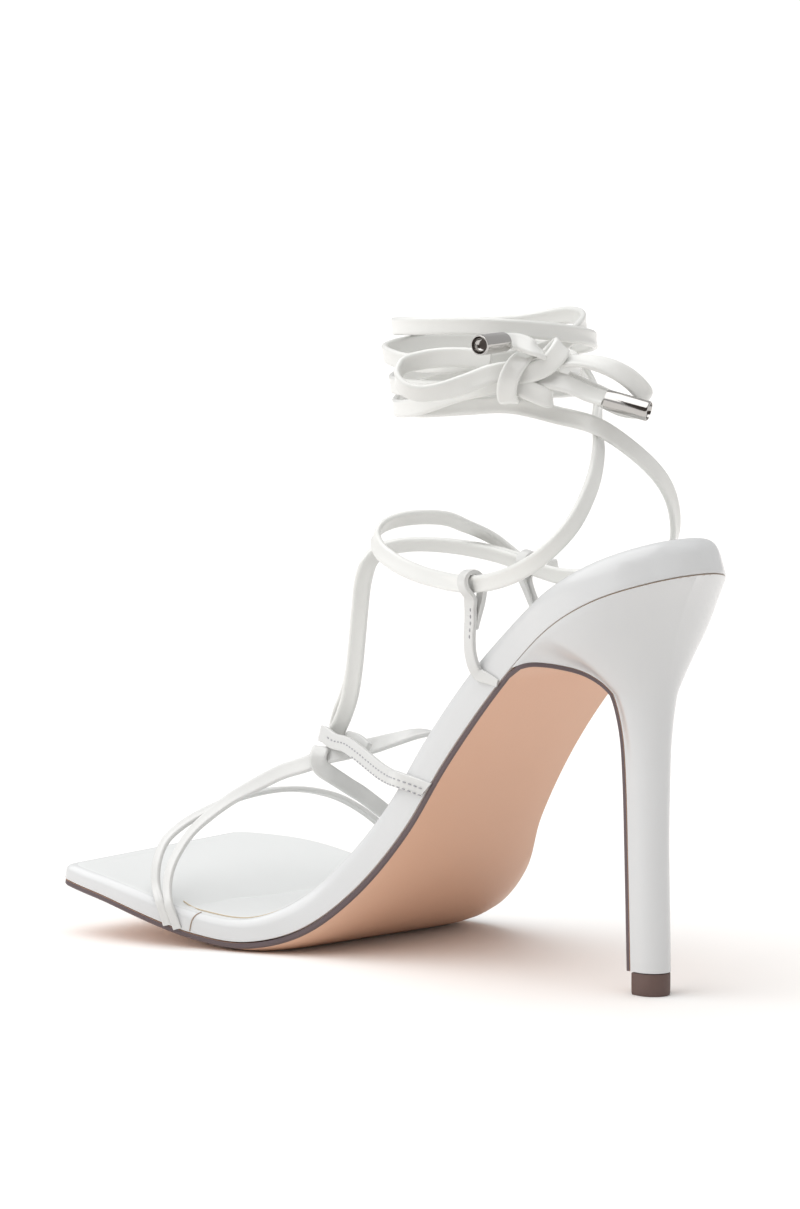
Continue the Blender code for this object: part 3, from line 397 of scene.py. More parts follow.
# Turns of the knot and the hidden runs from the loops to the ends, in the same columns.
BOW_FRONT_TO_END = ((5.0, 2.2, 158.0), (0.0, 2.4, 157.0), (-5.0, 3.0, 156.2))
BOW_BACK_TO_END = ((-6.4, 0.8, 161.0), (-4.4, 2.2, 161.8), (-3.2, 4.2, 163.0))
KNOT_WRAP = (
    (-1.0, -2.2, 160.0), (-0.4, 0.6, 162.0), (1.2, 3.8, 161.8), (3.4, 5.9, 159.2), (4.9, 6.4, 155.6),
    (5.2, 5.4, 152.2), (4.6, 2.6, 150.5), (4.0, -1.0, 151.2), (3.6, -2.6, 153.4),
)
KNOT_FOLD = (
    (5.0, 2.6, 156.6), (2.0, 3.6, 157.4), (-1.4, 4.6, 158.2), (-4.8, 5.0, 159.8), (-7.4, 4.4, 162.4),
    (-8.6, 2.6, 164.4), (-8.2, 0.4, 164.4), (-6.4, -1.4, 162.4), (-4.0, -2.2, 160.0),
)
KNOT_LOBE = (
    (4.4, 2.4, 156.0), (1.4, 3.8, 154.4), (-2.0, 4.4, 152.8), (-5.0, 3.6, 151.6), (-6.0, 1.6, 151.4),
    (-4.6, -0.4, 152.2), (-1.6, -1.6, 153.6),
)


def world(places):
    """Metres in the part's frame from places on the shoe."""
    places = np.asarray(places, float)
    return np.stack([ORIGIN[0] - places[..., 0], places[..., 1] - ORIGIN[1], places[..., 2]], -1) * MM


def unit(vectors):
    """Vectors with a length of one."""
    vectors = np.asarray(vectors, float)
    return vectors / np.linalg.norm(vectors, axis=-1, keepdims=True)


def smooth(rows, at):
    """Row of a table at a value of its first column, on a smooth curve through the rows."""
    table = np.asarray(rows, float)
    key = table[:, 0]
    slope = np.gradient(table, key, axis=0)
    at = np.clip(np.asarray(at, float), key[0], key[-1])
    i = np.clip(np.searchsorted(key, at, side="right") - 1, 0, len(key) - 2)
    step = (key[i + 1] - key[i])[..., None]
    t = ((at - key[i]) / (key[i + 1] - key[i]))[..., None]
    before = table[i] * (1 + 2 * t) * (1 - t) ** 2 + slope[i] * step * t * (1 - t) ** 2
    after = table[i + 1] * t * t * (3 - 2 * t) - slope[i + 1] * step * t * t * (1 - t)
    return before + after


def columns_at(at, key, table):
    """Columns of a table at values of its key, on straight lines between the rows."""
    return np.stack([np.interp(at, key, column) for column in np.asarray(table, float).T], -1)


def ramp(values, start, end):
    """Share of the way from a start to an end, from nothing to one."""
    return np.clip((values - start) / (end - start), 0.0, 1.0)


def soft(share):
    """Share with a soft start and a soft end."""
    return share * share * (3 - 2 * share)


def lengths(points):
    """Distance along a line to each of its points."""
    return np.concatenate([[0.0], np.cumsum(np.linalg.norm(np.diff(points, axis=0), axis=1))])


def added(name, data):
    """New object in the scene."""
    obj = bpy.data.objects.new(name, data)
    bpy.context.scene.collection.objects.link(obj)
    return obj


def camera():
    """Camera at the photograph's place and angle."""
    turn, rise = math.radians(CAMERA_TURN), math.radians(CAMERA_RISE)
    back = Vector((math.sin(turn) * math.cos(rise), -math.cos(turn) * math.cos(rise), math.sin(rise)))
    right = Vector((math.cos(turn), math.sin(turn), 0.0))
    data = bpy.data.cameras.new("photo_camera")
    data.sensor_fit = "VERTICAL"
    data.sensor_width = data.sensor_height = SENSOR
    data.lens = FOCAL_PIXELS * SENSOR / PHOTO_HEIGHT
    data.clip_end = 100.0
    place = Matrix((right, back.cross(right), back)).transposed().to_4x4()
    place.translation = Vector(CAMERA_PLACE)
    bpy.context.scene.camera = added("photo_camera", data)
    bpy.context.scene.camera.matrix_world = place


def fine_surface():
    """Node group: a cloudy mix of two colours and a fine grain as a normal."""
    group = bpy.data.node_groups.new("fine_surface", "ShaderNodeTree")
    for name, way, kind in (("Light Colour", "INPUT", "Color"), ("Dark Colour", "INPUT", "Color"),
                            ("Cloud Scale", "INPUT", "Float"), ("Grain Scale", "INPUT", "Float"),
                            ("Grain Depth", "INPUT", "Float"), ("Colour", "OUTPUT", "Color"),
                            ("Normal", "OUTPUT", "Vector")):
        group.interface.new_socket(name, in_out=way, socket_type="NodeSocket" + kind)
    nodes, links = group.nodes, group.links
    given, out, place, cloud, grain, mix, bump = (nodes.new(kind) for kind in (
        "NodeGroupInput", "NodeGroupOutput", "ShaderNodeTexCoord", "ShaderNodeTexNoise",
        "ShaderNodeTexNoise", "ShaderNodeMix", "ShaderNodeBump"))
    mix.data_type = "RGBA"
    cloud.inputs["Detail"].default_value = 4.0
    grain.inputs["Detail"].default_value = 3.0
    bump.inputs["Distance"].default_value = 0.0001
    for start, given_by, end, taken_by in (
            (place, "Object", cloud, "Vector"), (place, "Object", grain, "Vector"),
            (given, "Cloud Scale", cloud, "Scale"), (given, "Grain Scale", grain, "Scale"),
            (cloud, "Fac", mix, 0), (given, "Light Colour", mix, 6), (given, "Dark Colour", mix, 7),
            (grain, "Fac", bump, "Height"), (given, "Grain Depth", bump, "Strength"),
            (mix, 2, out, "Colour"), (bump, "Normal", out, "Normal")):
        links.new(start.outputs[given_by], end.inputs[taken_by])


def look(name, light, dark, roughness, cloud, grain, depth, coat=0.0, metallic=0.0):
    """Principled material with a cloudy colour and a fine grain."""
    material = bpy.data.materials.new(name + "_look")
    material.use_nodes = True
    tree = material.node_tree
    shader = tree.nodes["Principled BSDF"]
    surface = tree.nodes.new("ShaderNodeGroup")
    surface.node_tree = bpy.data.node_groups["fine_surface"]
    tree.links.new(surface.outputs["Colour"], shader.inputs["Base Color"])
    tree.links.new(surface.outputs["Normal"], shader.inputs["Normal"])
    for node, socket, value in (
            (surface, "Light Colour", (*light, 1.0)), (surface, "Dark Colour", (*dark, 1.0)),
            (surface, "Cloud Scale", cloud), (surface, "Grain Scale", grain),
            (surface, "Grain Depth", depth), (shader, "Roughness", roughness),
            (shader, "Metallic", metallic), (shader, "Coat Weight", coat),
            (shader, "Coat Roughness", COAT_ROUGHNESS)):
        node.inputs[socket].default_value = value
    return material


def piece(name, places, faces, looks, slot="white_patent", indices=None, sharp=40.0, replaces=()):
    """Mesh piece of the sandal from places on the shoe."""
    mesh = bpy.data.meshes.new(name)
    mesh.from_pydata(world(places).tolist(), [], faces)
    for material in looks:
        mesh.materials.append(material)
    if indices is not None:
        mesh.polygons.foreach_set("material_index", indices)
    body = bmesh.new()
    body.from_mesh(mesh)
    bmesh.ops.recalc_face_normals(body, faces=body.faces)
    body.to_mesh(mesh)
    body.free()
    mesh.shade_smooth()
    mesh.set_sharp_from_angle(angle=math.radians(sharp))
    obj = added(name, mesh)
    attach(obj, "root")
    if replaces:
        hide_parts(*replaces)
    return obj


def last_at(station):
    """Feather height, inner edge, outer edge and footbed thickness at a station."""
    return smooth(LAST, station)[..., 1:]


def toe_roll(station, across):
    """Height that the toe's roll adds at a place."""
    return TOE_ROLL * across * soft(ramp(station, TOE_ROLL_FROM, SOLE_LENGTH))


def lifted(station, across, lift):
    """Place at a lift square to the feather line."""
    lean = np.arctan((last_at(station + PROBE)[..., 0] - last_at(station - PROBE)[..., 0]) / (2 * PROBE))
    height = last_at(station)[..., 0] + lift * np.cos(lean) + toe_roll(station, across)
    return np.stack([station - lift * np.sin(lean), across + 0 * station, height], -1)


def edges_at(station, inset=0.0):
    """Inner and outer edge of the sole's outline, moved in by an inset, with rounded toe corners."""
    row = last_at(station)
    middle = (row[..., 1] + row[..., 2]) / 2
    half = (row[..., 2] - row[..., 1]) / 2 - inset
    back = ramp(station, SEAT_ROUND, inset)
    half = half * (1.0 - back ** SEAT_FULLNESS) ** (1.0 / SEAT_FULLNESS)
    toe = np.clip(station - (SOLE_LENGTH - inset - TOE_CORNER), 0.0, TOE_CORNER)
    half = half - (TOE_CORNER - np.sqrt(TOE_CORNER ** 2 - toe ** 2))
    return middle - half, middle + half


def ladder_stations(inset, back=None):
    """Stations from the back of the seat to the toe, close together round the seat and the toe."""
    turn = np.linspace(0.0, math.pi / 2, 18)
    seat = inset + (SEAT_ROUND - inset) * (1 - np.cos(turn))
    corner = SOLE_LENGTH - inset - TOE_CORNER
    rest = np.linspace(SEAT_ROUND, corner, 84)
    toe = corner + TOE_CORNER * np.sin(np.linspace(0.0, math.pi / 2, 8))
    stations = np.concatenate([seat, rest[1:], toe[1:]])
    if back is not None:
        stations = np.concatenate([[back], stations[stations > back + 0.2]])
    return stations


def ring_faces(rings, size):
    """Quads between each ring of points and the next."""
    k = np.arange(size)
    after = (k + 1) % size
    faces = [np.column_stack([r * size + k, r * size + after, (r + 1) * size + after, (r + 1) * size + k])
             for r in range(rings - 1)]
    return np.concatenate(faces).tolist()


def tube_faces(rings, size):
    """Quads between rings, then one face over the first ring and one over the last."""
    last = (rings - 1) * size
    return ring_faces(rings, size) + [tuple(range(size)), tuple(range(last, last + size))]


def slab(name, rows, looks, crown, sink, **options):
    """Layer with the sole's outline: rings of inset, share of the thickness and lift, capped by rungs."""
    rungs = 24
    parts = np.linspace(0.0, 1.0, rungs + 1)[1:-1]
    rings = []
    for inset, part, extra in rows:
        station = ladder_stations(inset)
        inner, outer = edges_at(station, inset)
        lift = part * last_at(station)[:, 3] + extra - sink(station)
        inner_side, outer_side = lifted(station, inner, lift), lifted(station, outer, lift)
        toe = inner_side[-1] + (outer_side[-1] - inner_side[-1]) * parts[:, None]
        rings.append(np.concatenate([inner_side, toe, outer_side[:0:-1]]))
    side, size = len(station), len(rings[0])
    places = list(np.concatenate(rings))
    faces = ring_faces(len(rings), size)
    for ring in (0, len(rings) - 1):
        start = ring * size
        line = [[start] * (rungs + 1)]
        for k in range(1, side - 1):
            inner, outer = rings[ring][k], rings[ring][size - k]
            row = [start + k]
            for part in parts:
                place = inner + (outer - inner) * part
                row.append(len(places))
                places.append(place + (0.0, 0.0, crown(place, part) if ring else 0.0))
            line.append(row + [start + size - k])
        line.append(list(range(start + side - 1, start + side + rungs)))
        for before, after in zip(line, line[1:]):
            for k in range(rungs):
                faces.append(tuple(dict.fromkeys([before[k], before[k + 1], after[k + 1], after[k]])))
    # The cap and the two top rings take the last look; on the footbed wrap that is the lighter lining look,
    # light painted on its upward faces.
    cap = len(faces) - (side - 1) * rungs
    top = (len(rings) - 3) * size
    indices = [len(looks) - 1 if k >= cap or top <= k < top + 2 * size else 0 for k in range(len(faces))]
    piece(name, np.array(places), faces, looks, indices=indices, **options)


def sock_front(station):
    """One where the lining lies open, nothing where it has sunk under the wrap of the toe."""
    return soft(ramp(station, SOCK_FRONT_END, SOCK_FRONT))


def sock_sink(station):
    """Depth of the lining's front edge under the wrap of the toe."""
    return SOCK_SINK - SOCK_SINK * sock_front(station)


def sock_crown(place, part):
    """Height of the lining over its rim: a soft hollow with shallow creases by the ball."""
    hollow = -SOCK_HOLLOW * (1 - (2 * part - 1) ** 2)
    crease = 0.0
    for station, across, lean, width, reach, height in SOCK_CREASES:
        along = (place[0] - station) * math.cos(lean) + (place[1] - across) * math.sin(lean)
        beside = (place[1] - across) * math.cos(lean) - (place[0] - station) * math.sin(lean)
        crease += height * math.exp(-((along / width) ** 2) - (beside / reach) ** 2)
    return hollow + crease * min(1.0, 6 * part, 6 * (1 - part))


def wrap_crown(place, part):
    """Height of the wrap over its rim: hollow under the lining, running out flat at the toe."""
    flat = ramp(place[0], SOLE_LENGTH - TOE_FLAT[0], SOLE_LENGTH - TOE_FLAT[1])
    sunk = SOCK_BED * sock_front(place[0]) * min(1.0, 8 * part, 8 * (1 - part))
    return -SOCK_HOLLOW * flat * (1 - (2 * part - 1) ** 2) - sunk


def footbed():
    """Wrapped insole with its rolled rim, the lining glued on it and the seam of the wrap."""
    # The wrap's top and the top of its rolled rim take the lighter lining look: painted light on these
    # upward faces.
    slab("footbed_wrap", FOOTBED_RIM, [WHITE, SOCK_AND_LIT_TOP], wrap_crown, np.zeros_like, replaces=("footbed",))
    slab("sock_lining", SOCK_RIM, [SOCK_AND_LIT_TOP], sock_crown, sock_sink)
    inset, part, _ = np.array(FOOTBED_RIM).T
    share = np.linspace(0.06, 0.99, 16)
    station = RAND_SEAM + RAND_SEAM_LEAN * share ** 3
    sunk = np.array([np.interp(at, part, inset) for at in share]) - SEAM_LIFT
    points = lifted(station, edges_at(station, sunk)[0], share * last_at(station)[:, 3] + SEAM_LIFT)
    band("rand_seam", points, wall_way(INNER, RAND_SEAM), SEAM_LINE, SEAM)
    straight = [(station, SOCK_LINE_INSET) for station in np.linspace(*SOCK_LINE, 40)]
    station, inset = np.concatenate([straight, SOCK_LINE_END]).T
    points = lifted(station, edges_at(station, inset)[0], last_at(station)[:, 3] + 2 * SEAM_LIFT)
    band("sock_edge", points, (0.0, -0.5, 0.86), SEAM_LINE, SOCK_EDGE)


def heel_rows():
    """Rows of the heel table with their place in it as the first column, evenly filled in."""
    rows = [(k, *row) for k, row in enumerate(HEEL)]
    return smooth(rows, np.linspace(0.0, len(HEEL) - 1, (len(HEEL) - 1) * HEEL_STEPS + 1))


def heel_half(share, front_half, widest, widest_at):
    """Half width of a heel section at a share of its depth from back to breast."""
    round_back = np.sqrt(np.clip(1 - (1 - share / widest_at) ** 2, 0, 1)) * widest
    to_front = widest + (front_half - widest) * soft(ramp(share, widest_at, 1.0))
    return np.where(share < widest_at, round_back, to_front)


def heel_rim(seat, half, blend):
    """Inner and outer rim of the heel: the seat's edges blended into half widths about the heel's line."""
    return [(1 - blend) * edge + blend * (HEEL_LINE + way * half) for edge, way in zip(seat, (-1, 1))]


def stacked(name, rings, material, **options):
    """Closed piece from stacked rings: back point, inner side, outer side back again."""
    size = len(rings[0])
    side = (size - 1) // 2
    faces = ring_faces(len(rings), size)
    for start in (0, (len(rings) - 1) * size):
        faces.append((start, start + 1, start + 2 * side))
        faces += [(start + k, start + k + 1, start + 2 * side - k, start + 2 * side + 1 - k)
                  for k in range(1, side)]
    piece(name, np.concatenate(rings), faces, [material], **options)


def heel():
    """Covered heel from the seat's outline to the slim tip, its walking piece and the line of the seat."""
    turn = np.linspace(0.0, math.pi / 2, 20)
    widest_at = SEAT_ROUND / BREAST_TOP
    share = np.concatenate([widest_at * (1 - np.cos(turn)), np.linspace(widest_at, 1.0, 14)[1:]])
    seat = share * BREAST_TOP
    seat_edges = edges_at(seat, SOLE_INSET)
    seat_places = lifted(seat, 0.0, -GAP)
    chord = seat_places[0] + (seat_places[-1] - seat_places[0]) * share[:, None]
    rings = []
    for place, front, front_up, back, back_up, front_half, widest in heel_rows():
        blend = min(1.0, place / SEAT_BLEND_ROWS)
        half = heel_half(share, front_half, widest, widest_at)
        bulge = (seat_places - chord) * (1 - blend)
        station = back + (front - back) * share + bulge[:, 0]
        height = back_up + (front_up - back_up) * share + bulge[:, 2] - GAP * (1 - blend)
        inner, outer = (np.stack([station, rim, height], -1) for rim in heel_rim(seat_edges, half, blend))
        rings.append(np.concatenate([(inner[:1] + outer[:1]) / 2, inner[1:], outer[:0:-1]]))
    stacked("heel_wrap", rings, WHITE, replaces=("heel",))
    front, _, back, _, front_half, widest = HEEL[-1]
    half = heel_half(share, front_half, widest, widest_at)
    middle = (front + back) / 2
    rings = []
    for scale, height in TOP_PIECE_ROWS:
        station = middle + (back + (front - back) * share - middle) * scale
        inner, outer = (np.stack([station, HEEL_LINE + way * half * scale, height + 0 * share], -1)
                        for way in (-1, 1))
        rings.append(np.concatenate([inner, outer[:0:-1]]))
    stacked("heel_top_piece", rings, RUBBER, slot="brown_rubber", replaces=("top_piece",))
    line = WELT_INSET + (BREAST_TOP - WELT_INSET) * share
    inner, outer = edges_at(line, WELT_INSET)
    station = np.concatenate([line[::-1], line[1:]])
    points = lifted(station, np.concatenate([inner[::-1], outer[1:]]), -0.5 * GAP + 0 * station)
    wish = np.cross(np.gradient(points, axis=0), (0.0, 0.0, 1.0))
    band("seat_welt", points, wish, WELT_LINE, SEAM, slot="tan_sole")


def outsole():
    """Thin sole with a painted edge, crowned underneath, running on down the heel breast."""
    station = ladder_stations(SOLE_INSET, BREAST_TOP + 2.0)[::-1]
    path = np.stack([station, last_at(station)[:, 0]], -1)
    breast = heel_rows()[3:]
    path = np.concatenate([path, breast[:, 1:3]])
    blend = np.minimum(1.0, breast[:, 0] / SEAT_BLEND_ROWS)
    rims = heel_rim(edges_at(np.array([BREAST_TOP]), SOLE_INSET), breast[:, 5], blend)
    inner, outer = (np.concatenate(pair) for pair in zip(edges_at(station, SOLE_INSET), rims))
    way = unit(np.gradient(path, axis=0))
    down = np.stack([-way[:, 1], way[:, 0]], -1)
    tread = ramp(path[:, 0], WAIST_END, TREAD_START)
    crown = WAIST_CROWN + (SOLE_CROWN - WAIST_CROWN) * tread
    crown[len(station):] = FLAP_CROWN
    edge = np.interp(np.arange(len(path)), [len(station) - EDGE_FADE, len(station)], [SOLE_EDGE, FLAP_EDGE])
    bevel, bevel_up = EDGE_BEVEL
    spread = np.concatenate([[-1.0], np.linspace(-bevel, bevel, 19), [1.0]])
    rings = []
    for k in range(len(path)):
        half = (outer[k] - inner[k]) / 2
        across = (inner[k] + outer[k]) / 2 + half * spread
        drop = GAP + edge[k] + crown[k] * (1 - np.abs(spread) ** (3 + 6 * tread[k]))
        drop[[0, -1]] = GAP + edge[k] - bevel_up
        under = path[k] + down[k] * drop[:, None]
        upper = path[k] + down[k] * GAP
        side = np.array([outer[k], inner[k]])
        top = np.stack([upper[0] + 0 * side, side, upper[1] + toe_roll(path[k, 0], side)], -1)
        height = np.maximum(under[:, 1] + toe_roll(path[k, 0], across), 0.0)
        rings.append(np.concatenate([np.stack([under[:, 0], across, height], -1), top]))
    size = len(rings[0])
    painted = {0, size - 4, size - 3, size - 1}
    indices = [int(k % size in painted) for k in range((len(rings) - 1) * size)]
    piece("outsole_skin", np.concatenate(rings), tube_faces(len(rings), size), [TAN, EDGE], "tan_sole",
          indices + [1, 1], sharp=30.0, replaces=("outsole",))


def eased(values, window):
    """Values averaged along their length over a soft window, with their ends held."""
    weight = np.hanning(2 * window + 3)[1:-1]
    weight /= weight.sum()
    ahead = 2 * values[0] - values[window:0:-1]
    behind = 2 * values[-1] - values[-2:-window - 2:-1]
    padded = np.concatenate([ahead, values, behind])
    return np.stack([np.convolve(padded[:, k], weight, "valid") for k in range(values.shape[1])], -1)


def route_points(route, carried=None, ease=ROUTE_EASE):
    """Points along a smooth curve through a route's places, closer together where it turns.

    Values carried by the places come back as a second result.
    """
    route = np.asarray(route, float)
    length = lengths(route)
    fine = np.linspace(0.0, length[-1], int(length[-1] / FINE_STEP) + 2)
    curve = smooth(np.column_stack([length, route]), fine)[:, 1:]
    curve = eased(curve, max(1, int(ease / FINE_STEP)))
    step = np.diff(curve, axis=0)
    reach = np.linalg.norm(step, axis=1)
    way = step / reach[:, None]
    bend = np.degrees(np.arccos(np.clip(np.sum(way[1:] * way[:-1], axis=1), -1.0, 1.0)))
    cost = reach / BAND_STEP
    cost[1:] += bend / TURN_STEP
    along = np.concatenate([[0.0], np.cumsum(cost)])
    order = np.arange(len(along))
    at = np.interp(np.linspace(0.0, along[-1], int(along[-1]) + 2), along, order)
    points = columns_at(at, order, curve)
    if carried is None:
        return points
    return points, columns_at(np.interp(at, order, fine), length, carried)


def away_from_foot(points):
    """Directions from the middle line of the foot and leg out to each point."""
    rows = np.asarray(FOOT_LINE, float)
    key = lengths(rows)
    line = smooth(np.column_stack([key, rows]), np.linspace(0.0, key[-1], 90))[:, 1:]
    nearest = np.linalg.norm(points[:, None] - line[None], axis=2).argmin(axis=1)
    return unit(points - line[nearest])


def steady_faces(way, wish):
    """Faces square to the way, as near to the wished ones as they can be without turning over."""
    faces = []
    carried = wish[0]
    for along, wished in zip(way, wish):
        level = wished - along * np.dot(wished, along)
        carried = unit(carried - along * np.dot(carried, along))
        pull = np.dot(level, carried) * np.dot(level, level) * FACE_PULL
        carried = unit(carried + level * pull)
        faces.append(carried)
    faces = eased(np.array(faces), min(6, len(faces) - 2))
    return unit(faces - way * np.sum(faces * way, axis=1)[:, None])


def profile(width, thick, corner, dip=0.0, groove=0.0):
    """Closed section of a band: rounded edges, a dip along its faces and a groove between its plies."""
    half_width, half_thick = width / 2, thick / 2
    turn = np.radians((90.0, 62.0, 34.0, 10.0))
    arc = (half_width - corner, half_thick - corner) + corner * np.column_stack([np.cos(turn), np.sin(turn)])
    edge = np.concatenate([arc, [[half_width - groove, 0.0]], arc[::-1] * (1, -1)])
    at = np.linspace(0.72, -0.72, 5)
    under = np.column_stack([at * (half_width - corner), -half_thick + dip * (1 - at ** 2)])
    return np.concatenate([edge, under, -edge, -under])


def band_ways(points, wish):
    """Ways along a band, out of its flat side and across it."""
    way = unit(np.gradient(points, axis=0))
    face = steady_faces(way, np.broadcast_to(unit(wish), points.shape))
    return way, face, np.cross(way, face)


def band(name, points, wish, size, material, narrow=1.0, thin=1.0, slant=0.0, **options):
    """Flat band along points, its flat side turned along the wished faces, its first end cut at a slant."""
    section = profile(*size)
    way, face, side = band_ways(points, wish)
    across = np.outer(np.ones(len(points)) * narrow, section[:, 0])
    deep = np.outer(np.ones(len(points)) * thin, section[:, 1])
    places = points[:, None] + side[:, None] * across[:, :, None] + face[:, None] * deep[:, :, None]
    fade = slant * ramp(lengths(points), SLANT_REACH, 0.0)
    places += way[:, None] * (across * fade[:, None])[:, :, None]
    faces = tube_faces(len(points), len(section))
    return piece(name, places.reshape(-1, 3), faces, [material], **options)


def wall_way(side, station):
    """Level direction straight out of the footbed's wall at a station."""
    edge = edges_at(np.array([station - PROBE, station + PROBE]))[side]
    slope = (edge[1] - edge[0]) / (2 * PROBE)
    return unit((slope, -1.0, 0.0) if side == INNER else (-slope, 1.0, 0.0))


def strap_foot(foot, thick):
    """Places up the footbed's wall, from the feather line to just over the top edge."""
    side, feather_station, rim_station, reach = foot
    places = []
    for share, lift_share in np.asarray(FOOT_PLACES) * (1.0, reach):
        at = feather_station + (rim_station - feather_station) * share * reach
        station = np.array([at])
        edge = edges_at(station)[side]
        wall = lifted(station, edge, lift_share * last_at(station)[:, 3])[0]
        out = FOOT_GAP + thick / 2 * (FOOT_THICKNESS + (1.0 - FOOT_THICKNESS) * share)
        places.append(wall + wall_way(side, at) * out)
    return places


def eye_turn(centre, way, face, size, degrees):
    """Places round a sewn eye, from its face side over its far end to its back."""
    face = unit(face)
    way = unit(way - face * np.dot(way, face))
    turn = np.radians(degrees)
    ring = np.cos(turn)[:, None] * way * size[0] + np.sin(turn)[:, None] * face * size[1]
    return centre + ring


def strap_line(size, route, feet, face=None, eye=None, ease=ROUTE_EASE):
    """Points, wished faces and thickness of a strap from foot to foot, round its eye where it has one."""
    rises = [[] if foot is None else strap_foot(foot, size[1]) for foot in feet]
    points = route_points([*rises[0], *route, *rises[1][::-1]], ease=ease)
    wish = away_from_foot(points) if face is None else np.broadcast_to(unit(face), points.shape)
    along = lengths(points)
    thin = np.ones(len(points))
    for foot, distance in zip(feet, (along, along[-1] - along)):
        if foot is not None:
            share = ramp(distance, FOOT_BLEND, FOOT_BLEND / 2)[:, None]
            wish = wish * (1.0 - share) + wall_way(foot[0], foot[1]) * share
            thin = thin * (FOOT_THICKNESS + (1.0 - FOOT_THICKNESS) * ramp(distance, 0.0, FOOT_TAPER))
    if eye is not None:
        centre, radius = eye
        out = points - centre
        near = np.linalg.norm(out, axis=1) < radius
        wish = np.where(near[:, None], unit(out), wish)
    return points, wish, thin


def stitches(name, points, wish, rows, first, thick):
    """Rows of thread stitches lying on a strap's face, from a first distance along it to each row's last."""
    _, face, side = band_ways(points, wish)
    along = lengths(points)
    turn = np.linspace(0.0, 2 * math.pi, 9)[:-1]
    lengthwise, girth = np.array(STITCH_ROWS).T
    sunk = thick / 2 + STITCH_LIFT - STITCH_SINK * np.abs(lengthwise) ** 3
    sideways = np.outer(girth, np.cos(turn))[:, :, None] * STITCH_WIDTH / 2
    upward = np.outer(girth, np.sin(turn))[:, :, None] * STITCH_WIDTH / 2
    tube = tube_faces(len(girth), len(turn))
    places, faces = [], []
    for row, last in rows:
        for middle in np.arange(first, last, STITCH_PITCH):
            at = middle + lengthwise * STITCH_LENGTH / 2
            spine, beside, out = (columns_at(at, along, table) for table in (points, side, face))
            spine = spine + beside * row + out * sunk[:, None]
            start = len(places) * sideways.size
            faces += [tuple(start + corner for corner in quad) for quad in tube]
            rings = spine[:, None] + beside[:, None] * sideways + out[:, None] * upward
            places.append(rings.reshape(-1, 3))
    piece(name, np.concatenate(places), faces, [THREAD])


def upper():
    """The upper: crossing toe straps, the hooked outer strap and the sewn instep strap with its eye."""
    whole = ("upper_straps",)
    points, wish, thin = strap_line(TOE_STRAP, TOE_STRAP_FRONT, TOE_FRONT_FEET)
    band("toe_strap_front", points, wish, TOE_STRAP, STRAP, thin=thin, replaces=whole)
    points, wish, thin = strap_line(REAR_STRAP, TOE_STRAP_REAR, TOE_REAR_FEET)
    across = points[:, 1]
    narrow = REAR_FOOT_WIDTH + (1.0 - REAR_FOOT_WIDTH) * ramp(across, *REAR_WIDENS)
    turned = (ramp(across, *REAR_TURNS[0]) * ramp(across, *REAR_TURNS[1]))[:, None]
    wish = wish * (1.0 - turned) + np.asarray(OUTER_FRONT_FACE) * turned
    band("toe_strap_rear", points, wish, REAR_STRAP, STRAP, narrow, thin, replaces=whole)
    points, wish, thin = strap_line(OUTER_STRAP, OUTER_FRONT_HOOKED, OUTER_FRONT_FEET)
    hook = ramp(lengths(points), *HOOK_REACH)[:, None]
    rest = ramp(points[:, 1], *HOOK_REST)[:, None]
    wish = np.asarray(OUTER_FRONT_FACE) * (1 - rest) + wish * rest
    wish = unit(points - HOOK_MIDDLE) * (1 - hook) + wish * hook
    band("outer_front_strap", points, wish, OUTER_STRAP, STRAP, OUTER_WIDTH, thin, replaces=whole)
    eye = eye_turn(INSTEP_EYE, INSTEP_EYE_WAY, INSTEP_FACE, EYE_SIZE, EYE_TURN)
    route = [*INSTEP_STRAP_INNER, *eye, *INSTEP_TAIL]
    points, wish, thin = strap_line(INSTEP_STRAP, route, INSTEP_FEET, INSTEP_FACE, (INSTEP_EYE, EYE_REACH),
                                    INSTEP_EASE)
    band("instep_strap", points, wish, INSTEP_STRAP, STRAP, 1.0, thin, INSTEP_SLANT, replaces=whole)
    stitches("instep_stitches", points, wish, INSTEP_STITCH_ROWS, INSTEP_STITCH_START, INSTEP_STRAP[1])


def heel_loop(name, feet, rise, eye, tail, width=1.0):
    """Folded strap beside the heel: up, round the lace and down behind itself, sewn together below."""
    centre, way, face, size = eye
    route = [*rise, *eye_turn(centre, way, face, size, LOOP_TURN), *tail]
    reach = max(size) + LOOP_EYE_MARGIN
    points, wish, thin = strap_line(LOOP_STRAP, route, feet, face, (centre, reach), LOOP_EASE)
    foot_width, foot_reach = LOOP_FOOT
    tail_width, tail_from = LOOP_TAIL
    narrow = width * (foot_width + (1.0 - foot_width) * ramp(lengths(points), 0.0, foot_reach))
    narrow *= 1.0 - (1.0 - tail_width) * ramp(np.linspace(0.0, 1.0, len(points)), tail_from, 1.0)
    band(name + "_strap", points, wish, LOOP_STRAP, STRAP, narrow, thin, replaces=("heel_" + name,))
    stitches(name + "_stitches", points, wish, LOOP_STITCH_ROWS, LOOP_STITCH_START, LOOP_STRAP[1])


def turns_to_places(turns):
    """Places on the shoe from turns round the ankle."""
    rows = np.asarray(turns, float)
    angle = np.radians(rows[:, 0])
    round_ankle = rows[:, 1, None] * np.column_stack([-np.cos(angle), np.sin(angle)])
    return np.column_stack([ANKLE + round_ankle, rows[:, 2]])


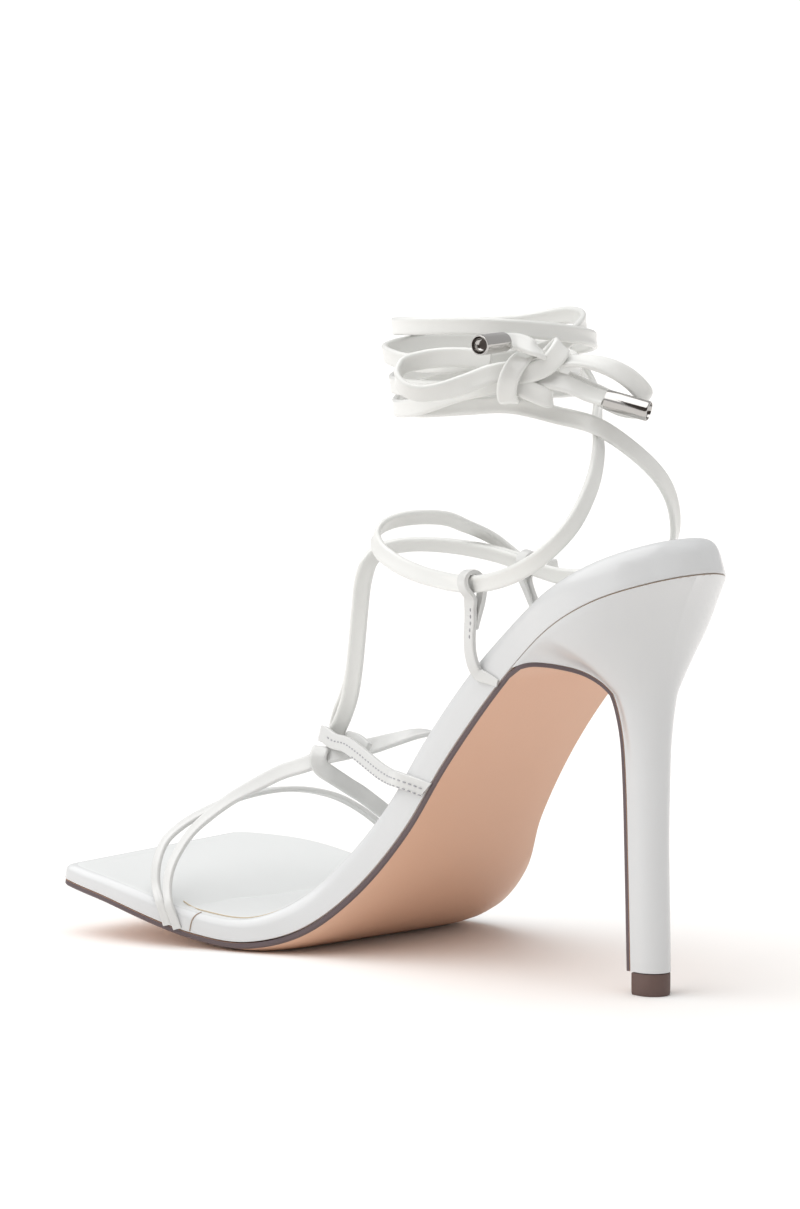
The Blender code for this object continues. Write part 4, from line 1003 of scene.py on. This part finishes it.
def ankle_lace():
    """One flat lace: knot, outer turns, heel, outer loop, instep eye and back to the knot."""
    turns = turns_to_places(OUTER_END_TURNS)[::-1], turns_to_places(INNER_END_TURNS)
    route = np.concatenate([turns[0], LACE_MIDDLE, turns[1]])
    wish = away_from_foot(route)
    first = len(OUTER_END_TURNS)
    for group in LACE_FACES:
        table = np.asarray(group)
        rows = np.arange(table[0, 0], table[-1, 0] + 1)
        wish[first + rows.astype(int)] = columns_at(rows, table[:, 0], table[:, 1:])
    points, wish = route_points(route, wish)
    band("ankle_lace", points, wish, LACE, LACE_WHITE, replaces=("lace",))


def knot_ways():
    """Directions at the knot: sideways towards the toe, outward from the ankle, up."""
    cos, sin = math.cos(math.radians(KNOT_TURN)), math.sin(math.radians(KNOT_TURN))
    return np.array([(cos, -sin, 0.0), (-sin, -cos, 0.0), (0.0, 0.0, 1.0)])


def knot_places(rows):
    """Places on the shoe from rows of the knot and bow tables."""
    return np.array([*KNOT, 0.0]) + np.asarray(rows, float) @ knot_ways()


def knot_band(name, rows, faces, nodes):
    """Stretch of the tied lace with its flat side along a table of faces."""
    points = route_points(knot_places(rows))
    along = lengths(points)
    table = np.asarray(faces, float)
    wish = columns_at(along / along[-1], table[:, 0], table[:, 1:]) @ knot_ways()
    obj = band(name, points, wish, BOW_LACE, LACE_WHITE, replaces=nodes)


def metal_tip(name, node, root, way):
    """Rolled metal tip on a lace end: a seam along its side and the hollow of its mouth at its free end
    painted dark as shade.
    """
    root = knot_places(root)
    way = unit(np.asarray(way, float) @ knot_ways())
    side = unit(np.cross(way, (0.0, 0.0, 1.0)))
    lift = np.cross(side, way)
    turn = np.linspace(0.0, 2 * math.pi, 41)[:-1]
    seam_at, seam_width, seam_depth = TIP_SEAM
    seam = 1.0 - seam_depth * np.exp(-((turn - seam_at) / seam_width) ** 2)
    circle = (np.cos(turn) * seam)[:, None] * side + (np.sin(turn) * seam)[:, None] * lift
    rings, indices = [], []
    for share, scale, dark in TIP_ROWS:
        centre = root + way * (AGLET_GAP + AGLET_LENGTH * share)
        rings.append(centre + circle * AGLET_DIAMETER / 2 * scale)
        indices += [dark] * len(turn)
    # Faces in the hollow at the mouth take the near-black look: painted shade.
    indices = indices[len(turn):] + [0, 1]
    faces = tube_faces(len(rings), len(turn))
    return piece(name, np.concatenate(rings), faces, [SILVER, MOUTH_SHADE], "silver_metal", indices, 50.0, (node,))


def bow():
    """Tied bow: two loops that run on to the tipped ends, and the turns of the knot over them."""
    tip = metal_tip("lace_tip_front", "aglet_front", END_FRONT[-1], AGLET_FRONT_WAY)
    knot_band("bow_lace_back", BOW_BACK[::-1] + BOW_BACK_TO_END + END_FRONT, LACE_BACK_FACES,
              ("lace_bow_back", "lace_end_front"))
    tip = metal_tip("lace_tip_back", "aglet_back", END_BACK[-1], AGLET_BACK_WAY)
    knot_band("bow_lace_front", BOW_FRONT[::-1] + BOW_FRONT_TO_END + END_BACK, LACE_FRONT_FACES,
              ("lace_bow_front", "lace_end_back"))
    for name, rows, faces in (("knot_wrap", KNOT_WRAP, WRAP_FACES), ("knot_fold", KNOT_FOLD, FOLD_FACES),
                              ("knot_lobe", KNOT_LOBE, LOBE_FACES)):
        knot_band(name, rows, faces, ("lace_knot",))


def card(name, corners, material):
    """Flat four-cornered piece of the set, in metres."""
    mesh = bpy.data.meshes.new(name)
    mesh.from_pydata(corners, [], [(0, 1, 2, 3)])
    mesh.materials.append(material)
    obj = added(name, mesh)


def stage():
    """Pale floor, a dark card behind the camera, one soft light and a bright plain surround."""
    far, drop = FLOOR_REACH, -FLOOR_DROP * MM
    card("floor", [(-far, -far, drop), (far, -far, drop), (far, far, drop), (-far, far, drop)], FLOOR)
    left, right = CARD_FOOT
    low, high = CARD_SPAN
    # The card borrows the near-black look that paints the shade in the tips' mouths.
    card("dark_card", [(*left, low), (*right, low), (*right, high), (*left, high)], MOUTH_SHADE)
    light = bpy.data.lights.new("key", "SUN")
    light.energy = KEY_STRENGTH
    light.angle = math.radians(KEY_SPREAD)
    added("key", light).rotation_euler = Vector(KEY_WAY).to_track_quat("Z", "Y").to_euler()
    surround = bpy.data.worlds.new("surround")
    surround.use_nodes = True
    shade = surround.node_tree.nodes["Background"]
    shade.inputs["Color"].default_value = (*SURROUND, 1.0)
    shade.inputs["Strength"].default_value = SURROUND_STRENGTH
    bpy.context.scene.world = surround
    bpy.context.scene.view_settings.view_transform = "Standard"


camera()
fine_surface()
WHITE = look("white_patent", (0.652, 0.658, 0.661), (0.632, 0.638, 0.641), 0.3, 40.0, 1800.0, 0.12, 0.5)
STRAP = look("white_strap", (0.66, 0.66, 0.648), (0.64, 0.64, 0.626), 0.3, 60.0, 2200.0, 0.15, 0.5)
LACE_WHITE = look("white_lace", (0.76, 0.76, 0.738), (0.73, 0.73, 0.706), 0.32, 70.0, 2400.0, 0.2, 0.5)
# Lining look, also put on the footbed wrap's top and the top of its rim as painted light.
SOCK_AND_LIT_TOP = look("sock_lining", (0.725, 0.735, 0.73), (0.705, 0.715, 0.71), 0.42, 55.0, 2600.0, 0.25, 0.2)
TAN = look("tan_sole", (0.71, 0.44, 0.305), (0.66, 0.40, 0.275), 0.5, 26.0, 900.0, 0.3, 0.1)
EDGE = look("painted_edge", (0.115, 0.08, 0.085), (0.085, 0.06, 0.065), 0.45, 90.0, 1500.0, 0.3, 0.1)
RUBBER = look("walking_piece", (0.135, 0.083, 0.07), (0.10, 0.06, 0.052), 0.55, 120.0, 2200.0, 0.5)
SOCK_EDGE = look("sock_edge", (0.60, 0.50, 0.36), (0.55, 0.45, 0.31), 0.6, 300.0, 900.0, 0.02)
SEAM = look("seam", (0.36, 0.27, 0.20), (0.30, 0.22, 0.16), 0.6, 200.0, 3000.0, 0.3)
THREAD = look("thread", (0.40, 0.40, 0.42), (0.33, 0.33, 0.35), 0.7, 900.0, 6000.0, 0.6)
SILVER = look("silver_tip", (0.53, 0.515, 0.50), (0.48, 0.465, 0.45), 0.1, 60.0, 1200.0, 0.06, 0.0, 1.0)
# Near-black, half metallic look: painted shade in the hollow of each tip's mouth; the dark card borrows it.
MOUTH_SHADE = look("tip_mouth_shade", (0.10, 0.08, 0.07), (0.05, 0.04, 0.035), 0.4, 300.0, 2000.0, 0.3, 0.0, 0.6)
FLOOR = look("pale_floor", (0.91, 0.893, 0.876), (0.90, 0.883, 0.866), 0.9, 3.0, 200.0, 0.0)
bow()
ankle_lace()
footbed()
heel()
outsole()
upper()
heel_loop("loop_inner", LOOP_INNER_FEET, LOOP_RISE_INNER, LOOP_EYE_INNER, LOOP_TAIL_INNER)
heel_loop("loop_outer", LOOP_OUTER_FEET, LOOP_RISE_OUTER, LOOP_EYE_OUTER, LOOP_TAIL_OUTER, LOOP_OUTER_WIDTH)
stage()
